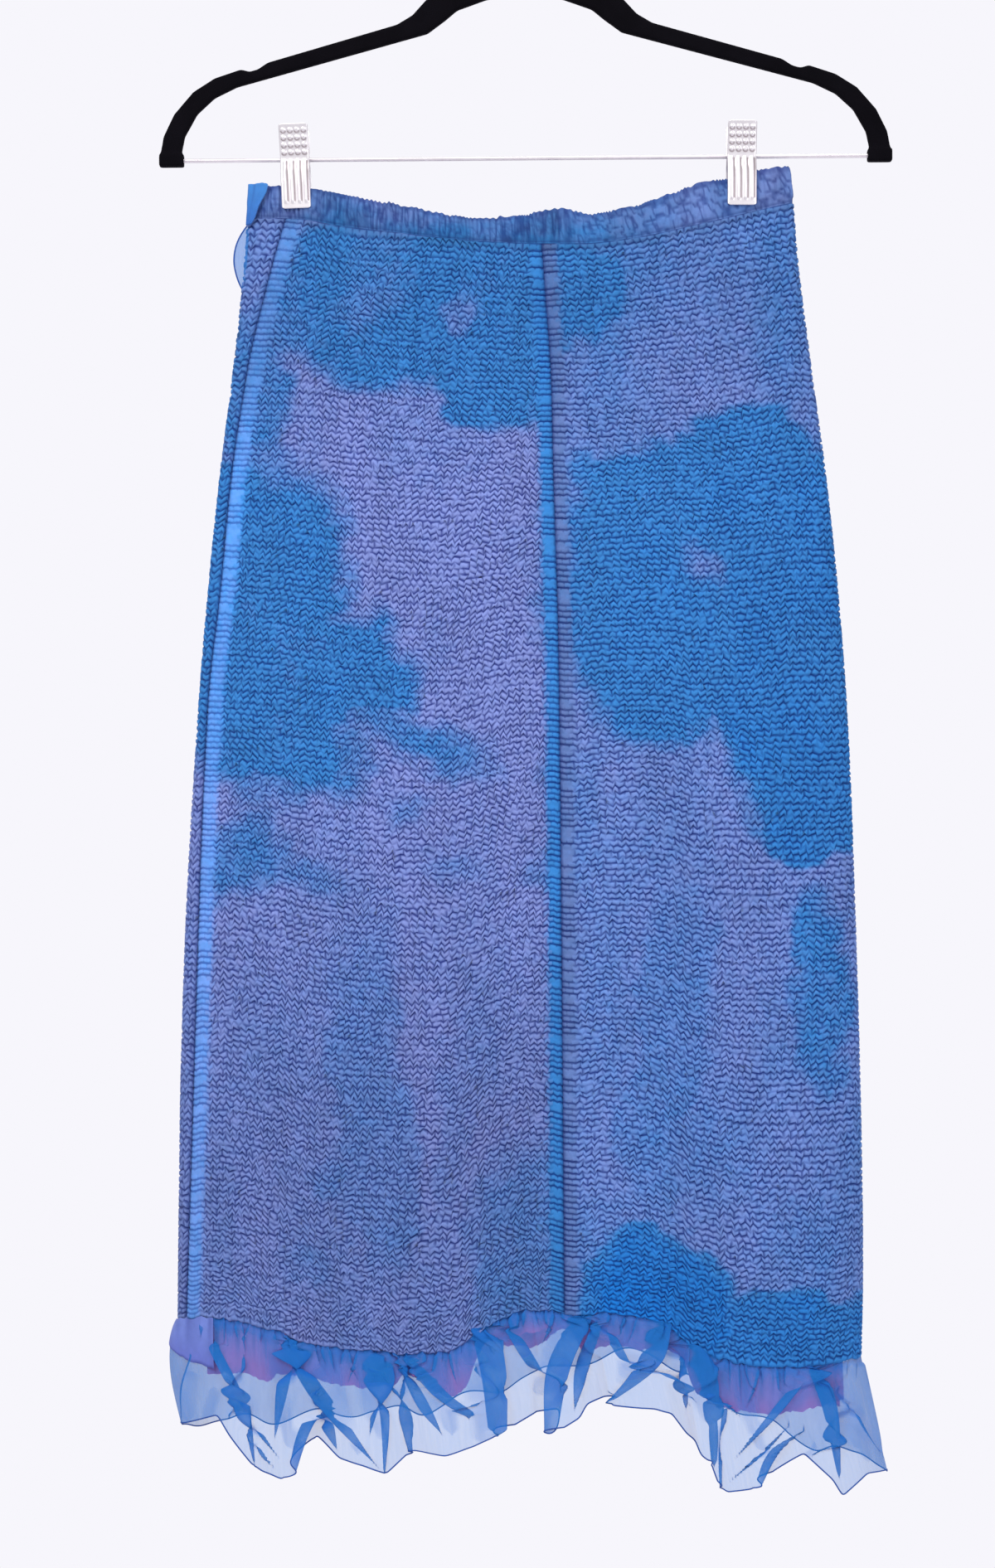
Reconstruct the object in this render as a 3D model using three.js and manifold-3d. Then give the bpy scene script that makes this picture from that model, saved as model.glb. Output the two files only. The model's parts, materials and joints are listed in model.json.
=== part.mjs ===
// A crinkled midi skirt with a sheer hem ruffle, hanging flat from a slim hanger with a bar and two clips.
// Millimetres, +Z up, +X to the viewer's right, the front faces -Y.
// The origin is the inside top of the hanger's hook, where the whole thing hangs.

import * as THREE from 'three';
import Module from 'manifold-3d';
import { mergeVertices } from 'three/addons/utils/BufferGeometryUtils.js';

// Hanger: a flocked body 445 wide, a steel bar between its feet and a wire hook
const ROD_BELOW_HOOK = 200;
const HANGER_HALF_WIDTH = 222;
const HANGER_THICKNESS = 5.5;
const HANGER_BEVEL = 0.8;
const HANGER_TILT = THREE.MathUtils.degToRad(0.44);
const FOOT_WIDTH = 15;
const FOOT_HEIGHT = 7.5;
const FOOT_DEPTH = 7;
const BAR_RADIUS = 1.2;
const BAR_BORE_RADIUS = 1.55;
const BAR_BORE_DEPTH = 8;
const BAR_END_GAP = 0.4;
const NECK_ABOVE_ROD = 126;
const HOOK_WIRE_RADIUS = 1.8;
const HOOK_BORE_RADIUS = 2.15;
const HOOK_BORE_DEPTH = 14;
const HOOK_INSIDE_RADIUS = 20;
const HOOK_JOIN_ANGLE = -60;
const HOOK_TIP_ANGLE = 205;
const HOOK_SHANK = 26;

// Places on the bend between the hook's shank and its round, as shares of the way across and up
const HOOK_BEND = [{ across: 0.12, up: 0.42 }, { across: 0.5, up: 0.76 }];

// Clips: two pressed leaves on a coil spring round the bar
const CLIP_X = [-139.7, 130.7];
const CLIP_WIDTH = 17.6;
const CLIP_TOP = 21.7;
const CLIP_BOTTOM = -29.2;
const LEAF_THICKNESS = 1.2;
const RIB_COUNT = 4;
const RIB_WIDTH = 1.7;
const RIB_PROUD = 0.45;
const RIB_TOP = 1.2;
const BUMP_ROWS = 4;
const BUMP_SIZE = 2.1;
const BUMP_PROUD = 0.6;
const SPRING_OUTER = 3.2;
const SPRING_INNER = 1.6;
const SPRING_LENGTH = 13;

// Distance of a leaf's inner face from the bar's plane, from the handle down to the jaw
const LEAF_BEND = [
  { z: CLIP_TOP, y: 9.6 },
  { z: 12, y: 6.4 },
  { z: 1.6, y: 3.6 },
  { z: -1.6, y: 3.6 },
  { z: -9, y: 6.3 },
  { z: CLIP_BOTTOM, y: 6.3 },
];

// Left half of the hanger body's outline above the bar: outer edge from foot to neck
const ARM_OUTER = [
  { x: -221.5, z: 2 }, { x: -219.2, z: 14.6 }, { x: -212.6, z: 28.1 }, { x: -201, z: 41.5 },
  { x: -188, z: 49.7 }, { x: -172, z: 55 }, { x: -166.8, z: 53.6 }, { x: -161.8, z: 55 },
  { x: -155.8, z: 59 }, { x: -77.4, z: 81.4 }, { x: -68, z: 87 }, { x: -59.8, z: 96 },
  { x: -51, z: 104 }, { x: -38, z: 109.5 }, { x: -22, z: 112.5 }, { x: -13, z: 116.5 },
  { x: -9.5, z: 121 }, { x: -9, z: NECK_ABOVE_ROD },
];

// The same half's inner edge, from the foot to the middle of the arch
const ARM_INNER = [
  { x: -208.8, z: 2 }, { x: -206.2, z: 14.6 }, { x: -198.5, z: 28.2 }, { x: -188, z: 37.8 },
  { x: -174.4, z: 44.4 }, { x: -163.3, z: 47.2 }, { x: -58.8, z: 75.9 }, { x: -48.2, z: 83.7 },
  { x: -40.7, z: 89.9 }, { x: -23.6, z: 96 }, { x: -12, z: 98.6 }, { x: 0, z: 99.2 },
];

// The skirt and its clips hang a little to the right of the hook's middle
const SKIRT_X = 1.6;

// Skirt walls
const CLOTH = 1.8;
const FOLD_INSET = 2.6;
const SEAM_GAP = 0.3;
const CRINKLE = 1.1;
const CRINKLE_LEAST = 0.6;
const CRINKLE_DRIFT = 0.4;
const CRINKLE_COLUMNS = 14;
const CRINKLE_ROWS = 44;
const INSIDE_ROWS = 8;
const MEAN_WAIST_Z = -245;
const MEAN_RELEASE_Z = -912;
const FLUTES = 7;
const FLUTE_DEPTH = 2.6;

// Skirt outline: left and right folds and half the depth between front and back, down the length
const OUTLINE = [
  { z: -205, left: -166.5, right: 155.5, depth: 7 },
  { z: -236, left: -168, right: 161, depth: 8.4 },
  { z: -280, left: -171, right: 165, depth: 11.5 },
  { z: -345, left: -178, right: 173.5, depth: 15 },
  { z: -405, left: -185.5, right: 182, depth: 18 },
  { z: -480, left: -193, right: 190, depth: 21 },
  { z: -556, left: -199, right: 195.5, depth: 24 },
  { z: -657, left: -205, right: 199.5, depth: 27 },
  { z: -757, left: -208.5, right: 202.5, depth: 30 },
  { z: -858, left: -210, right: 204, depth: 32.5 },
  { z: -935, left: -210.6, right: 202.5, depth: 34 },
];

// Seams: left and centre lie on the front, right and back lie on the back half
const SEAMS = [
  { z: -236, left: -143, centre: 9, right: 150, back: -10 },
  { z: -280, left: -155, centre: 12, right: 153, back: -9 },
  { z: -325, left: -166, centre: 15, right: 157, back: -8 },
  { z: -390, left: -177, centre: 16.5, right: 167, back: -8 },
  { z: -477, left: -185.5, centre: 19, right: 176, back: -9 },
  { z: -536, left: -192, centre: 20, right: 180, back: -10 },
  { z: -720, left: -199.5, centre: 21.5, right: 187, back: -12 },
  { z: -935, left: -206, centre: 23, right: 190, back: -12 },
];

// Waist casing: its gathered top edge and the stitch line where it meets the panels
const WAIST = [
  { x: -168, top: -217, seam: -236 },
  { x: -134, top: -219, seam: -238 },
  { x: -112, top: -223, seam: -242 },
  { x: -80, top: -229, seam: -246 },
  { x: -36, top: -237, seam: -251 },
  { x: 0, top: -236, seam: -252.8 },
  { x: 20, top: -232, seam: -253 },
  { x: 43, top: -235, seam: -252.4 },
  { x: 76, top: -227.6, seam: -247.5 },
  { x: 104, top: -218, seam: -241 },
  { x: 121, top: -213.6, seam: -237 },
  { x: 161, top: -205, seam: -227 },
];
const GATHERS = 64;
const GATHER_DEPTH = 1;
const GATHER_SCALLOP = 1.3;
const CASING_RISE = 17;

// Where the crinkle ends above the hem, on the front and on the back
const RELEASE = [
  { x: -211, front: -903, back: -903 },
  { x: -186, front: -900, back: -906 },
  { x: -150, front: -906, back: -914 },
  { x: -131, front: -913, back: -912 },
  { x: -101, front: -916, back: -904 },
  { x: -66, front: -918, back: -902 },
  { x: -44, front: -916, back: -908 },
  { x: -27, front: -905, back: -912 },
  { x: -12, front: -896, back: -914 },
  { x: 3, front: -892, back: -912 },
  { x: 33, front: -895, back: -904 },
  { x: 53, front: -894, back: -900 },
  { x: 77, front: -899, back: -902 },
  { x: 92, front: -909, back: -908 },
  { x: 102, front: -918, back: -914 },
  { x: 122, front: -924, back: -919 },
  { x: 151, front: -929, back: -920 },
  { x: 181, front: -928, back: -924 },
  { x: 203, front: -926, back: -926 },
];

// Plain underlayer that shows below the crinkle: how far its free edge drops
const UNDERLAYER = [
  { x: -190, drop: 34 }, { x: -172, drop: 31 }, { x: -152, drop: 30 }, { x: -145, drop: 15 },
  { x: -134, drop: 19 }, { x: -105, drop: 22 }, { x: -80, drop: 20 }, { x: -73, drop: 12 },
  { x: -52, drop: 25 }, { x: -36, drop: 27 }, { x: -26, drop: 9 }, { x: -10, drop: 15 },
  { x: 4, drop: 13 }, { x: 34, drop: 8 }, { x: 48, drop: 18 }, { x: 76, drop: 17 },
  { x: 92, drop: 10 }, { x: 103, drop: 26 }, { x: 140, drop: 28 }, { x: 168, drop: 26 },
  { x: 192, drop: 22 },
];
const SHEER = 0.9;

// Hem ruffle's free edge on the front, fold by fold: place, height, and how far it stands out
const RUFFLE_FRONT = [
  { x: -209, z: -966, out: 1.5 }, { x: -185, z: -957, out: 8 }, { x: -177, z: -968, out: 13 },
  { x: -164, z: -984, out: 10 }, { x: -158, z: -989, out: 6 }, { x: -145, z: -992, out: 12 },
  { x: -135, z: -981, out: 16 }, { x: -125, z: -967, out: 3 }, { x: -111, z: -979, out: 9 },
  { x: -97, z: -982, out: 14 }, { x: -83, z: -987, out: 12 }, { x: -68, z: -975, out: 3 },
  { x: -48, z: -976, out: 13 }, { x: -31, z: -971, out: 9 }, { x: -18, z: -964, out: 12 },
  { x: -8, z: -960, out: 4 }, { x: 3, z: -953, out: 5 }, { x: 11, z: -949, out: 3 },
  { x: 13, z: -963, out: 15 }, { x: 31, z: -953, out: 15 }, { x: 36, z: -946, out: 8 },
  { x: 49, z: -942, out: 3 }, { x: 50, z: -946, out: 12 }, { x: 76, z: -948, out: 15 },
  { x: 86, z: -951, out: 14 }, { x: 95, z: -964, out: 8 }, { x: 101, z: -970, out: 3 },
  { x: 103, z: -976, out: 11 }, { x: 109, z: -980, out: 14 }, { x: 114, z: -994, out: 15 },
  { x: 119, z: -998, out: 14 }, { x: 134, z: -997, out: 12 }, { x: 148, z: -987, out: 8 },
  { x: 166, z: -979, out: 3 }, { x: 183, z: -994, out: 12 }, { x: 189, z: -1004, out: 14 },
  { x: 205, z: -993, out: 10 }, { x: 219, z: -994, out: 1.5 },
];

// The back's free edge hangs a little higher: its mean line, with even folds swinging about it
const RUFFLE_BACK = [
  { x: -209, z: -966 }, { x: -165, z: -970 }, { x: -120, z: -968 }, { x: -60, z: -965 },
  { x: -10, z: -950 }, { x: 45, z: -935 }, { x: 78, z: -932 }, { x: 112, z: -955 },
  { x: 140, z: -969 }, { x: 172, z: -983 }, { x: 219, z: -994 },
];
const RUFFLE_BACK_FOLDS = 26;
const RUFFLE_BACK_OUT = [3, 13];
const RUFFLE_BACK_SWING = 4;
const RUFFLE_BACK_WANDER = 5;
const RUFFLE_ROWS = 4;
const RUFFLE_FLARE = 7;

// Folded tab over the casing's left end, and the bowed loop below it
const TAB_TOP_WIDTH = 11.5;
const TAB_TIP_WIDTH = 2.4;
const TAB_TIP_Z = -241;
const TAB_THICKNESS = 1;
const TAB_OFFSET = 1.5;
const TAB_FROM_FOLD = 0.4;
const TAB_COLUMNS = 5;
const LOOP_TOP = -240.5;
const LOOP_BOTTOM = -280;
const LOOP_BOW = 6.4;
const LOOP_WIDTH = 8;
const LOOP_STEPS = 12;

// Colours
const BLUE = 0x3c7dcd;
const LILAC = 0x767acb;
const UNDER = 0x876ebe;
const SHEER_BLUE = 0x6ea0dc;
const EDGE_BLUE = 0x3a86d2;
const BLACK_FLOCK = 0x17151a;
const CHROME = 0xd8d6da;

const wasm = await Module();
wasm.setup();

// Reads a named column of a table at a place between its rows, on a smooth curve
function along(table, key, name, at) {
  const rising = table[1][key] > table[0][key];
  let k = 0;
  while (k < table.length - 2 && (rising ? at > table[k + 1][key] : at < table[k + 1][key])) k++;
  const slope = (a, b) => (table[b][name] - table[a][name]) / (table[b][key] - table[a][key]);
  const last = table.length - 1;
  const [p, q] = [table[k], table[k + 1]];
  const span = q[key] - p[key];
  const t = THREE.MathUtils.clamp((at - p[key]) / span, 0, 1);
  const inSlope = slope(Math.max(k - 1, 0), k + 1);
  const outSlope = slope(k, Math.min(k + 2, last));
  const [t2, t3] = [t * t, t * t * t];
  return (2 * t3 - 3 * t2 + 1) * p[name] + (t3 - 2 * t2 + t) * span * inSlope
    + (3 * t2 - 2 * t3) * q[name] + (t3 - t2) * span * outSlope;
}

// A repeatable number from 0 to 1 for a grid place
function speckle(i, j, seed) {
  const value = Math.sin(i * 127.1 + j * 311.7 + seed * 74.7) * 43758.5453;
  return value - Math.floor(value);
}

// The skirt's flattened section at one height: angle 0 is the left fold, a quarter turn the front middle
function section(z) {
  const left = along(OUTLINE, 'z', 'left', z);
  const right = along(OUTLINE, 'z', 'right', z);
  return { z, middle: (left + right) / 2, half: (right - left) / 2, depth: along(OUTLINE, 'z', 'depth', z) };
}

// A point on the section moved along its outward normal; the wall's inside is a smaller section
function onSection(ring, angle, outward = 0, inside = false) {
  const half = ring.half - (inside ? FOLD_INSET : 0);
  const depth = ring.depth - (inside ? CLOTH : 0);
  const normal = new THREE.Vector2(-depth * Math.cos(angle), -half * Math.sin(angle)).normalize();
  const grown = THREE.MathUtils.smoothstep(-ring.z, -SEAMS[1].z, -OUTLINE.at(-1).z);
  const flute = FLUTE_DEPTH * grown * Math.sin(FLUTES * angle + 0.6) * Math.sin(angle) ** 2;
  const reach = outward + flute;
  return {
    x: ring.middle - half * Math.cos(angle) + normal.x * reach,
    y: -depth * Math.sin(angle) + normal.y * reach,
    normal,
  };
}

// A point inside the wall's thickness: share 0 is its outer face and 1 its inner face
function inWall(ring, angle, share) {
  const [outer, inner] = [onSection(ring, angle), onSection(ring, angle, 0, true)];
  return { x: THREE.MathUtils.lerp(outer.x, inner.x, share), y: THREE.MathUtils.lerp(outer.y, inner.y, share) };
}

// The angle of a place across the front or the back
function angleAt(ring, x, onBack) {
  const angle = Math.acos(THREE.MathUtils.clamp(-(x - ring.middle) / ring.half, -1, 1));
  return onBack ? 2 * Math.PI - angle : angle;
}

// Angles between two limits, closer together round the folds; FOLD_WEIGHT is millimetres for a radian of turn
const FOLD_WEIGHT = 26;
const FINE_STEPS = 160;
function spread(ring, from, to, count) {
  const travelled = [0];
  const tangent = (a) => Math.atan2(-ring.depth * Math.cos(a), ring.half * Math.sin(a));
  for (let k = 0; k < FINE_STEPS; k++) {
    const a = from + (to - from) * (k + 0.5) / FINE_STEPS;
    const step = (to - from) / FINE_STEPS;
    const length = Math.hypot(ring.half * Math.sin(a), ring.depth * Math.cos(a)) * step;
    let turn = Math.abs(tangent(a + step / 2) - tangent(a - step / 2));
    turn = Math.min(turn, 2 * Math.PI - turn);
    travelled.push(travelled[k] + length + FOLD_WEIGHT * turn);
  }
  const angles = [];
  let k = 0;
  for (let i = 0; i <= count; i++) {
    const want = travelled[FINE_STEPS] * i / count;
    while (k < FINE_STEPS - 1 && travelled[k + 1] < want) k++;
    const part = (want - travelled[k]) / (travelled[k + 1] - travelled[k]);
    angles.push(from + (to - from) * (k + part) / FINE_STEPS);
  }
  return angles;
}

// Moves an angle along the section by a distance in millimetres
function shifted(ring, angle, distance) {
  return angle + distance / Math.hypot(ring.half * Math.sin(angle), ring.depth * Math.cos(angle));
}

// Heights of the waist seam and of the line where the crinkle ends, at a point of the section
const waistSeam = (p) => along(WAIST, 'x', 'seam', p.x);
const releaseLine = (p) => along(RELEASE, 'x', p.y < 0 ? 'front' : 'back', p.x);

// Strip of triangles between an outer and an inner polyline that run side by side; turned faces the other way
function stitch(triangles, outer, inner, turned) {
  let [a, b] = [0, 0];
  while (a < outer.length - 1 || b < inner.length - 1) {
    const nextOuter = a < outer.length - 1 ? (a + 1) / (outer.length - 1) : Infinity;
    const nextInner = b < inner.length - 1 ? (b + 1) / (inner.length - 1) : Infinity;
    const onOuter = nextOuter <= nextInner;
    const face = onOuter ? [outer[a + 1], outer[a], inner[b]] : [inner[b], inner[b + 1], outer[a]];
    triangles.push(...(turned ? face.reverse() : face));
    if (onOuter) a++;
    else b++;
  }
}

// A closed cloth wall from an outer and an inner grid of points, rows going down and columns to the right
function wall(outer, inner) {
  const points = [];
  const triangles = [];
  const number = (grid) => grid.map((row) => row.map((p) => points.push(p) - 1));
  const [o, n] = [number(outer), number(inner)];
  for (const [grid, facesOut] of [[o, true], [n, false]]) {
    for (let j = 0; j < grid.length - 1; j++) {
      for (let i = 0; i < grid[j].length - 1; i++) {
        const [a, b, c, d] = [grid[j][i], grid[j + 1][i], grid[j + 1][i + 1], grid[j][i + 1]];
        triangles.push(...(facesOut ? [a, b, c, a, c, d] : [a, c, b, a, d, c]));
      }
    }
  }
  const down = (grid, i) => grid.map((row) => row.at(i));
  stitch(triangles, down(o, 0), down(n, 0), false);
  stitch(triangles, down(o, -1), down(n, -1), true);
  stitch(triangles, o.at(-1), n.at(-1), false);
  stitch(triangles, o[0], n[0], true);
  const geometry = new THREE.BufferGeometry();
  const numbers = points.flatMap((p) => [p.x, p.y, p.z]);
  geometry.setAttribute('position', new THREE.Float32BufferAttribute(numbers, 3));
  geometry.setIndex(triangles);
  geometry.computeVertexNormals();
  return geometry;
}

function clothMaterial(color, opacity = 1) {
  const transparent = opacity < 1;
  return new THREE.MeshStandardMaterial({ color, roughness: 0.6, metalness: 0, transparent, opacity });
}

function named(name, geometry, material) {
  const mesh = new THREE.Mesh(geometry, material);
  mesh.name = name;
  return mesh;
}

// Crinkled panels: where the seams run, as functions of the section

const seamAngle = (which, onBack) => (ring) => angleAt(ring, along(SEAMS, 'z', which, ring.z), onBack);
const leftSeam = seamAngle('left', false);
const centreSeam = seamAngle('centre', false);
const rightSeam = seamAngle('right', true);
const backSeam = seamAngle('back', true);
const leftSeamAgain = (ring) => leftSeam(ring) + 2 * Math.PI;
const GORES = [
  { name: 'front_left_gore', color: LILAC, from: leftSeam, to: centreSeam },
  { name: 'front_right_gore', color: BLUE, from: centreSeam, to: rightSeam },
  { name: 'back_right_gore', color: LILAC, from: rightSeam, to: backSeam },
  { name: 'back_left_gore', color: BLUE, from: backSeam, to: leftSeamAgain },
];

function goreAngles(ring, { from, to }) {
  const start = shifted(ring, from(ring), SEAM_GAP / 2);
  return spread(ring, start, shifted(ring, to(ring), -SEAM_GAP / 2), CRINKLE_COLUMNS);
}

// The straight-sided edge that the gores' own points make at the waist or the hem, as a height at any angle
function panelEdge(meanZ, lineAt) {
  const ring = section(meanZ);
  const points = GORES.flatMap((piece) => goreAngles(ring, piece)).map((angle) => (
    { angle, z: lineAt(onSection(ring, angle)) }));
  return (angle) => {
    const at = angle < points[0].angle ? angle + 2 * Math.PI : angle;
    const next = points.findIndex((point) => point.angle >= at);
    const [p, q] = [points[Math.max(next - 1, 0)], points[Math.max(next, 1)]];
    return THREE.MathUtils.lerp(p.z, q.z, (at - p.angle) / (q.angle - p.angle));
  };
}

// Moves the nearest of the given angles onto each corner of the panels' edge, so that both edges bend together
function ontoCorners(angles, meanZ) {
  const ring = section(meanZ);
  const moved = [...angles];
  for (const corner of GORES.flatMap((piece) => goreAngles(ring, piece))) {
    const turn = 2 * Math.PI;
    const place = corner > turn && angles[0] < Math.PI ? corner - turn : corner;
    const away = (k) => Math.abs(angles[k] - place);
    const nearest = angles.reduce((best, _, k) => (away(k) < away(best) ? k : best), 0);
    if (nearest > 0 && nearest < angles.length - 1) moved[nearest] = place;
  }
  return moved;
}

// One gore between two seams, with a bump on every second grid point of its outer face
function gore(piece, seed) {
  const grid = (rows, raised) => {
    const points = [];
    for (let j = 0; j <= rows; j++) {
      const down = j / rows;
      const ring = section(THREE.MathUtils.lerp(MEAN_WAIST_Z, MEAN_RELEASE_Z, down));
      points.push(goreAngles(ring, piece).map((angle, i) => {
        const edge = i === 0 || i === CRINKLE_COLUMNS || j === 0 || j === rows;
        const bump = raised && !edge && (i + j) % 2 === 1
          ? CRINKLE * THREE.MathUtils.lerp(CRINKLE_LEAST, 1, speckle(i, j, seed)) : 0;
        const p = onSection(ring, angle, bump, !raised);
        const drift = raised && !edge ? (speckle(j, i, seed + 1) - 0.5) * CRINKLE_DRIFT / rows : 0;
        const flat = onSection(ring, angle);
        const z = THREE.MathUtils.lerp(waistSeam(flat), releaseLine(flat), down + drift);
        return new THREE.Vector3(p.x, p.y, z);
      }));
    }
    return points;
  };
  const geometry = wall(grid(CRINKLE_ROWS, true), grid(INSIDE_ROWS, false));
  return named(piece.name, geometry, clothMaterial(piece.color));
}

const panels = GORES.map((piece, k) => gore(piece, k + 1));

// Waist casing, front and back, gathered on elastic

function casing(name, from, to, seed) {
  const rows = [0, 0.5, 1];
  const seamHeight = panelEdge(MEAN_WAIST_Z, waistSeam);
  const grid = (columns, raised) => [...rows].reverse().map((up) => {
    const ring = section(MEAN_WAIST_Z + up * CASING_RISE);
    const even = spread(ring, shifted(ring, from, SEAM_GAP / 2), shifted(ring, to, -SEAM_GAP / 2), columns);
    return ontoCorners(even, MEAN_WAIST_Z).map((angle, i) => {
      const edge = i === 0 || i === columns;
      const depth = GATHER_DEPTH * (0.7 + 0.3 * speckle(i, 0, seed));
      const p = onSection(ring, angle, raised && !edge && i % 2 === 1 && up > 0 ? depth : 0, !raised);
      const scallop = raised && up === 1 && !edge ? GATHER_SCALLOP * (speckle(i, 1, seed) - 0.5) : 0;
      const top = along(WAIST, 'x', 'top', p.x) + scallop;
      return new THREE.Vector3(p.x, p.y, THREE.MathUtils.lerp(seamHeight(angle) + SEAM_GAP, top, up));
    });
  });
  return named(name, wall(grid(2 * GATHERS, true), grid(GATHERS / 2, false)), clothMaterial(BLUE));
}

const casings = [
  casing('waist_casing_front', 0, Math.PI, 5),
  casing('waist_casing_back', Math.PI, 2 * Math.PI, 6),
];

// Plain underlayer edge below the crinkle, just inside the ruffle

function underlayer(name, onBack) {
  const ring = section(MEAN_RELEASE_Z);
  const reach = UNDERLAYER.at(-1).x;
  const [from, to] = onBack
    ? [angleAt(ring, reach, true), angleAt(ring, -reach, true)]
    : [angleAt(ring, -reach, false), angleAt(ring, reach, false)];
  const inset = (SHEER + SEAM_GAP) / CLOTH;
  const crinkleEnd = panelEdge(MEAN_RELEASE_Z, releaseLine);
  const corners = GORES.flatMap((piece) => goreAngles(ring, piece));
  const angles = [from, ...corners.filter((angle) => angle > from + 0.01 && angle < to - 0.01), to];
  const sheet = (depthIn) => [0, 0.5, 1].map((down) => angles.map((angle) => {
    const p = inWall(ring, angle, depthIn);
    const drop = along(UNDERLAYER, 'x', 'drop', onBack ? -p.x : p.x);
    return new THREE.Vector3(p.x, p.y, crinkleEnd(angle) - SEAM_GAP - drop * down);
  }));
  return named(name, wall(sheet(inset), sheet(inset + SHEER / CLOTH)), clothMaterial(UNDER));
}

const underlayers = [underlayer('underlayer_front', false), underlayer('underlayer_back', true)];

// Hem ruffle

// The back's fold table, from the right fold to the left fold
function backRuffleFolds() {
  const [right, left] = [RUFFLE_FRONT.at(-1), RUFFLE_FRONT[0]];
  const rows = [right];
  for (let k = 1; k < RUFFLE_BACK_FOLDS; k++) {
    const share = k / RUFFLE_BACK_FOLDS;
    const swing = Math.sin(1.9 * k) * RUFFLE_BACK_SWING;
    const wander = (speckle(k, 0, 7) - 0.5) * RUFFLE_BACK_WANDER;
    const x = THREE.MathUtils.lerp(right.x, left.x, share) + wander;
    rows.push({ x, z: along(RUFFLE_BACK, 'x', 'z', x) + swing, out: RUFFLE_BACK_OUT[k % 2] });
  }
  rows.push(left);
  return rows;
}

// Splits each stretch between two folds, finer in the first and last ones, which turn round the skirt's folds
function splitFolds(rows) {
  const points = [];
  for (let k = 0; k < rows.length - 1; k++) {
    const pieces = k === 0 || k === rows.length - 2 ? 4 : 2;
    for (let m = 0; m < pieces; m++) {
      const t = m / pieces;
      points.push({
        x: THREE.MathUtils.lerp(rows[k].x, rows[k + 1].x, t),
        z: THREE.MathUtils.lerp(rows[k].z, rows[k + 1].z, t),
        out: THREE.MathUtils.lerp(rows[k].out, rows[k + 1].out, t),
      });
    }
  }
  points.push(rows.at(-1));
  return points;
}

// The free edge in space: its fold places set out from a section as wide as the ruffle's own reach
function freeEdge(rows, onBack) {
  const [left, right] = [RUFFLE_FRONT[0].x, RUFFLE_FRONT.at(-1).x];
  const ring = { z: OUTLINE.at(-1).z, middle: (left + right) / 2, half: (right - left) / 2,
    depth: OUTLINE.at(-1).depth };
  return splitFolds(rows).map((fold) => {
    const angle = angleAt(ring, fold.x, onBack);
    const side = onBack ? 1 : -1;
    const y = side * (ring.depth * Math.abs(Math.sin(angle)) + fold.out * (1 - Math.abs(Math.cos(angle)) ** 8));
    return new THREE.Vector3(fold.x, y, fold.z);
  });
}

function ruffle(name, rows, onBack) {
  const edge = freeEdge(rows, onBack);
  const lengths = [0];
  for (let k = 1; k < edge.length; k++) lengths.push(lengths[k - 1] + edge[k].distanceTo(edge[k - 1]));
  const ring = section(MEAN_RELEASE_Z);
  const start = shifted(ring, onBack ? Math.PI : 0, SEAM_GAP / 2);
  const end = shifted(ring, onBack ? 2 * Math.PI : Math.PI, -SEAM_GAP / 2);
  const fine = spread(ring, start, end, FINE_STEPS);
  const even = lengths.map((length) => fine[Math.round(FINE_STEPS * length / lengths.at(-1))]);
  const angles = ontoCorners(even, MEAN_RELEASE_Z);
  const crinkleEnd = panelEdge(MEAN_RELEASE_Z, releaseLine);
  const surface = [];
  for (let j = 0; j <= RUFFLE_ROWS; j++) {
    const down = j / RUFFLE_ROWS;
    surface.push(edge.map((free, k) => {
      const p = onSection(ring, angles[k]);
      const top = new THREE.Vector3(p.x, p.y, crinkleEnd(angles[k]) - SEAM_GAP);
      const point = top.lerp(free, down);
      const flare = RUFFLE_FLARE * Math.sin(Math.PI * down ** 0.6) * Math.abs(Math.cos(angles[k])) ** 24;
      if (point.x < 0) point.x -= flare;
      return point;
    }));
  }
  const seamEdge = [0, surface[0].length - 1];
  const sideways = onBack ? 1 : -1;
  for (const row of surface) {
    for (const k of seamEdge) row[k].y = sideways * Math.max(Math.abs(row[k].y), SEAM_GAP / 2);
  }
  const inside = thickened(surface);
  inside[0] = surface[0].map((point, k) => {
    const p = inWall(ring, angles[k], SHEER / CLOTH);
    return new THREE.Vector3(p.x, p.y, point.z);
  });
  return named(name, wall(surface, inside), clothMaterial(SHEER_BLUE, 0.6));
}

// The same grid moved in by the sheer cloth's thickness along its normals
function thickened(surface) {
  return surface.map((row, j) => row.map((point, i) => {
    const across = row[Math.min(i + 1, row.length - 1)].clone().sub(row[Math.max(i - 1, 0)]);
    const above = surface[Math.max(j - 1, 0)][i];
    const below = surface[Math.min(j + 1, surface.length - 1)][i];
    const normal = below.clone().sub(above).cross(across);
    if (i === 0 || i === row.length - 1) normal.y = 0;
    return point.clone().addScaledVector(normal.normalize(), -SHEER);
  }));
}

const ruffles = [
  ruffle('hem_ruffle_front', RUFFLE_FRONT, false),
  ruffle('hem_ruffle_back', backRuffleFolds(), true),
];

// Side tab: a folded triangle made from the casing's own points, moved out

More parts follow.
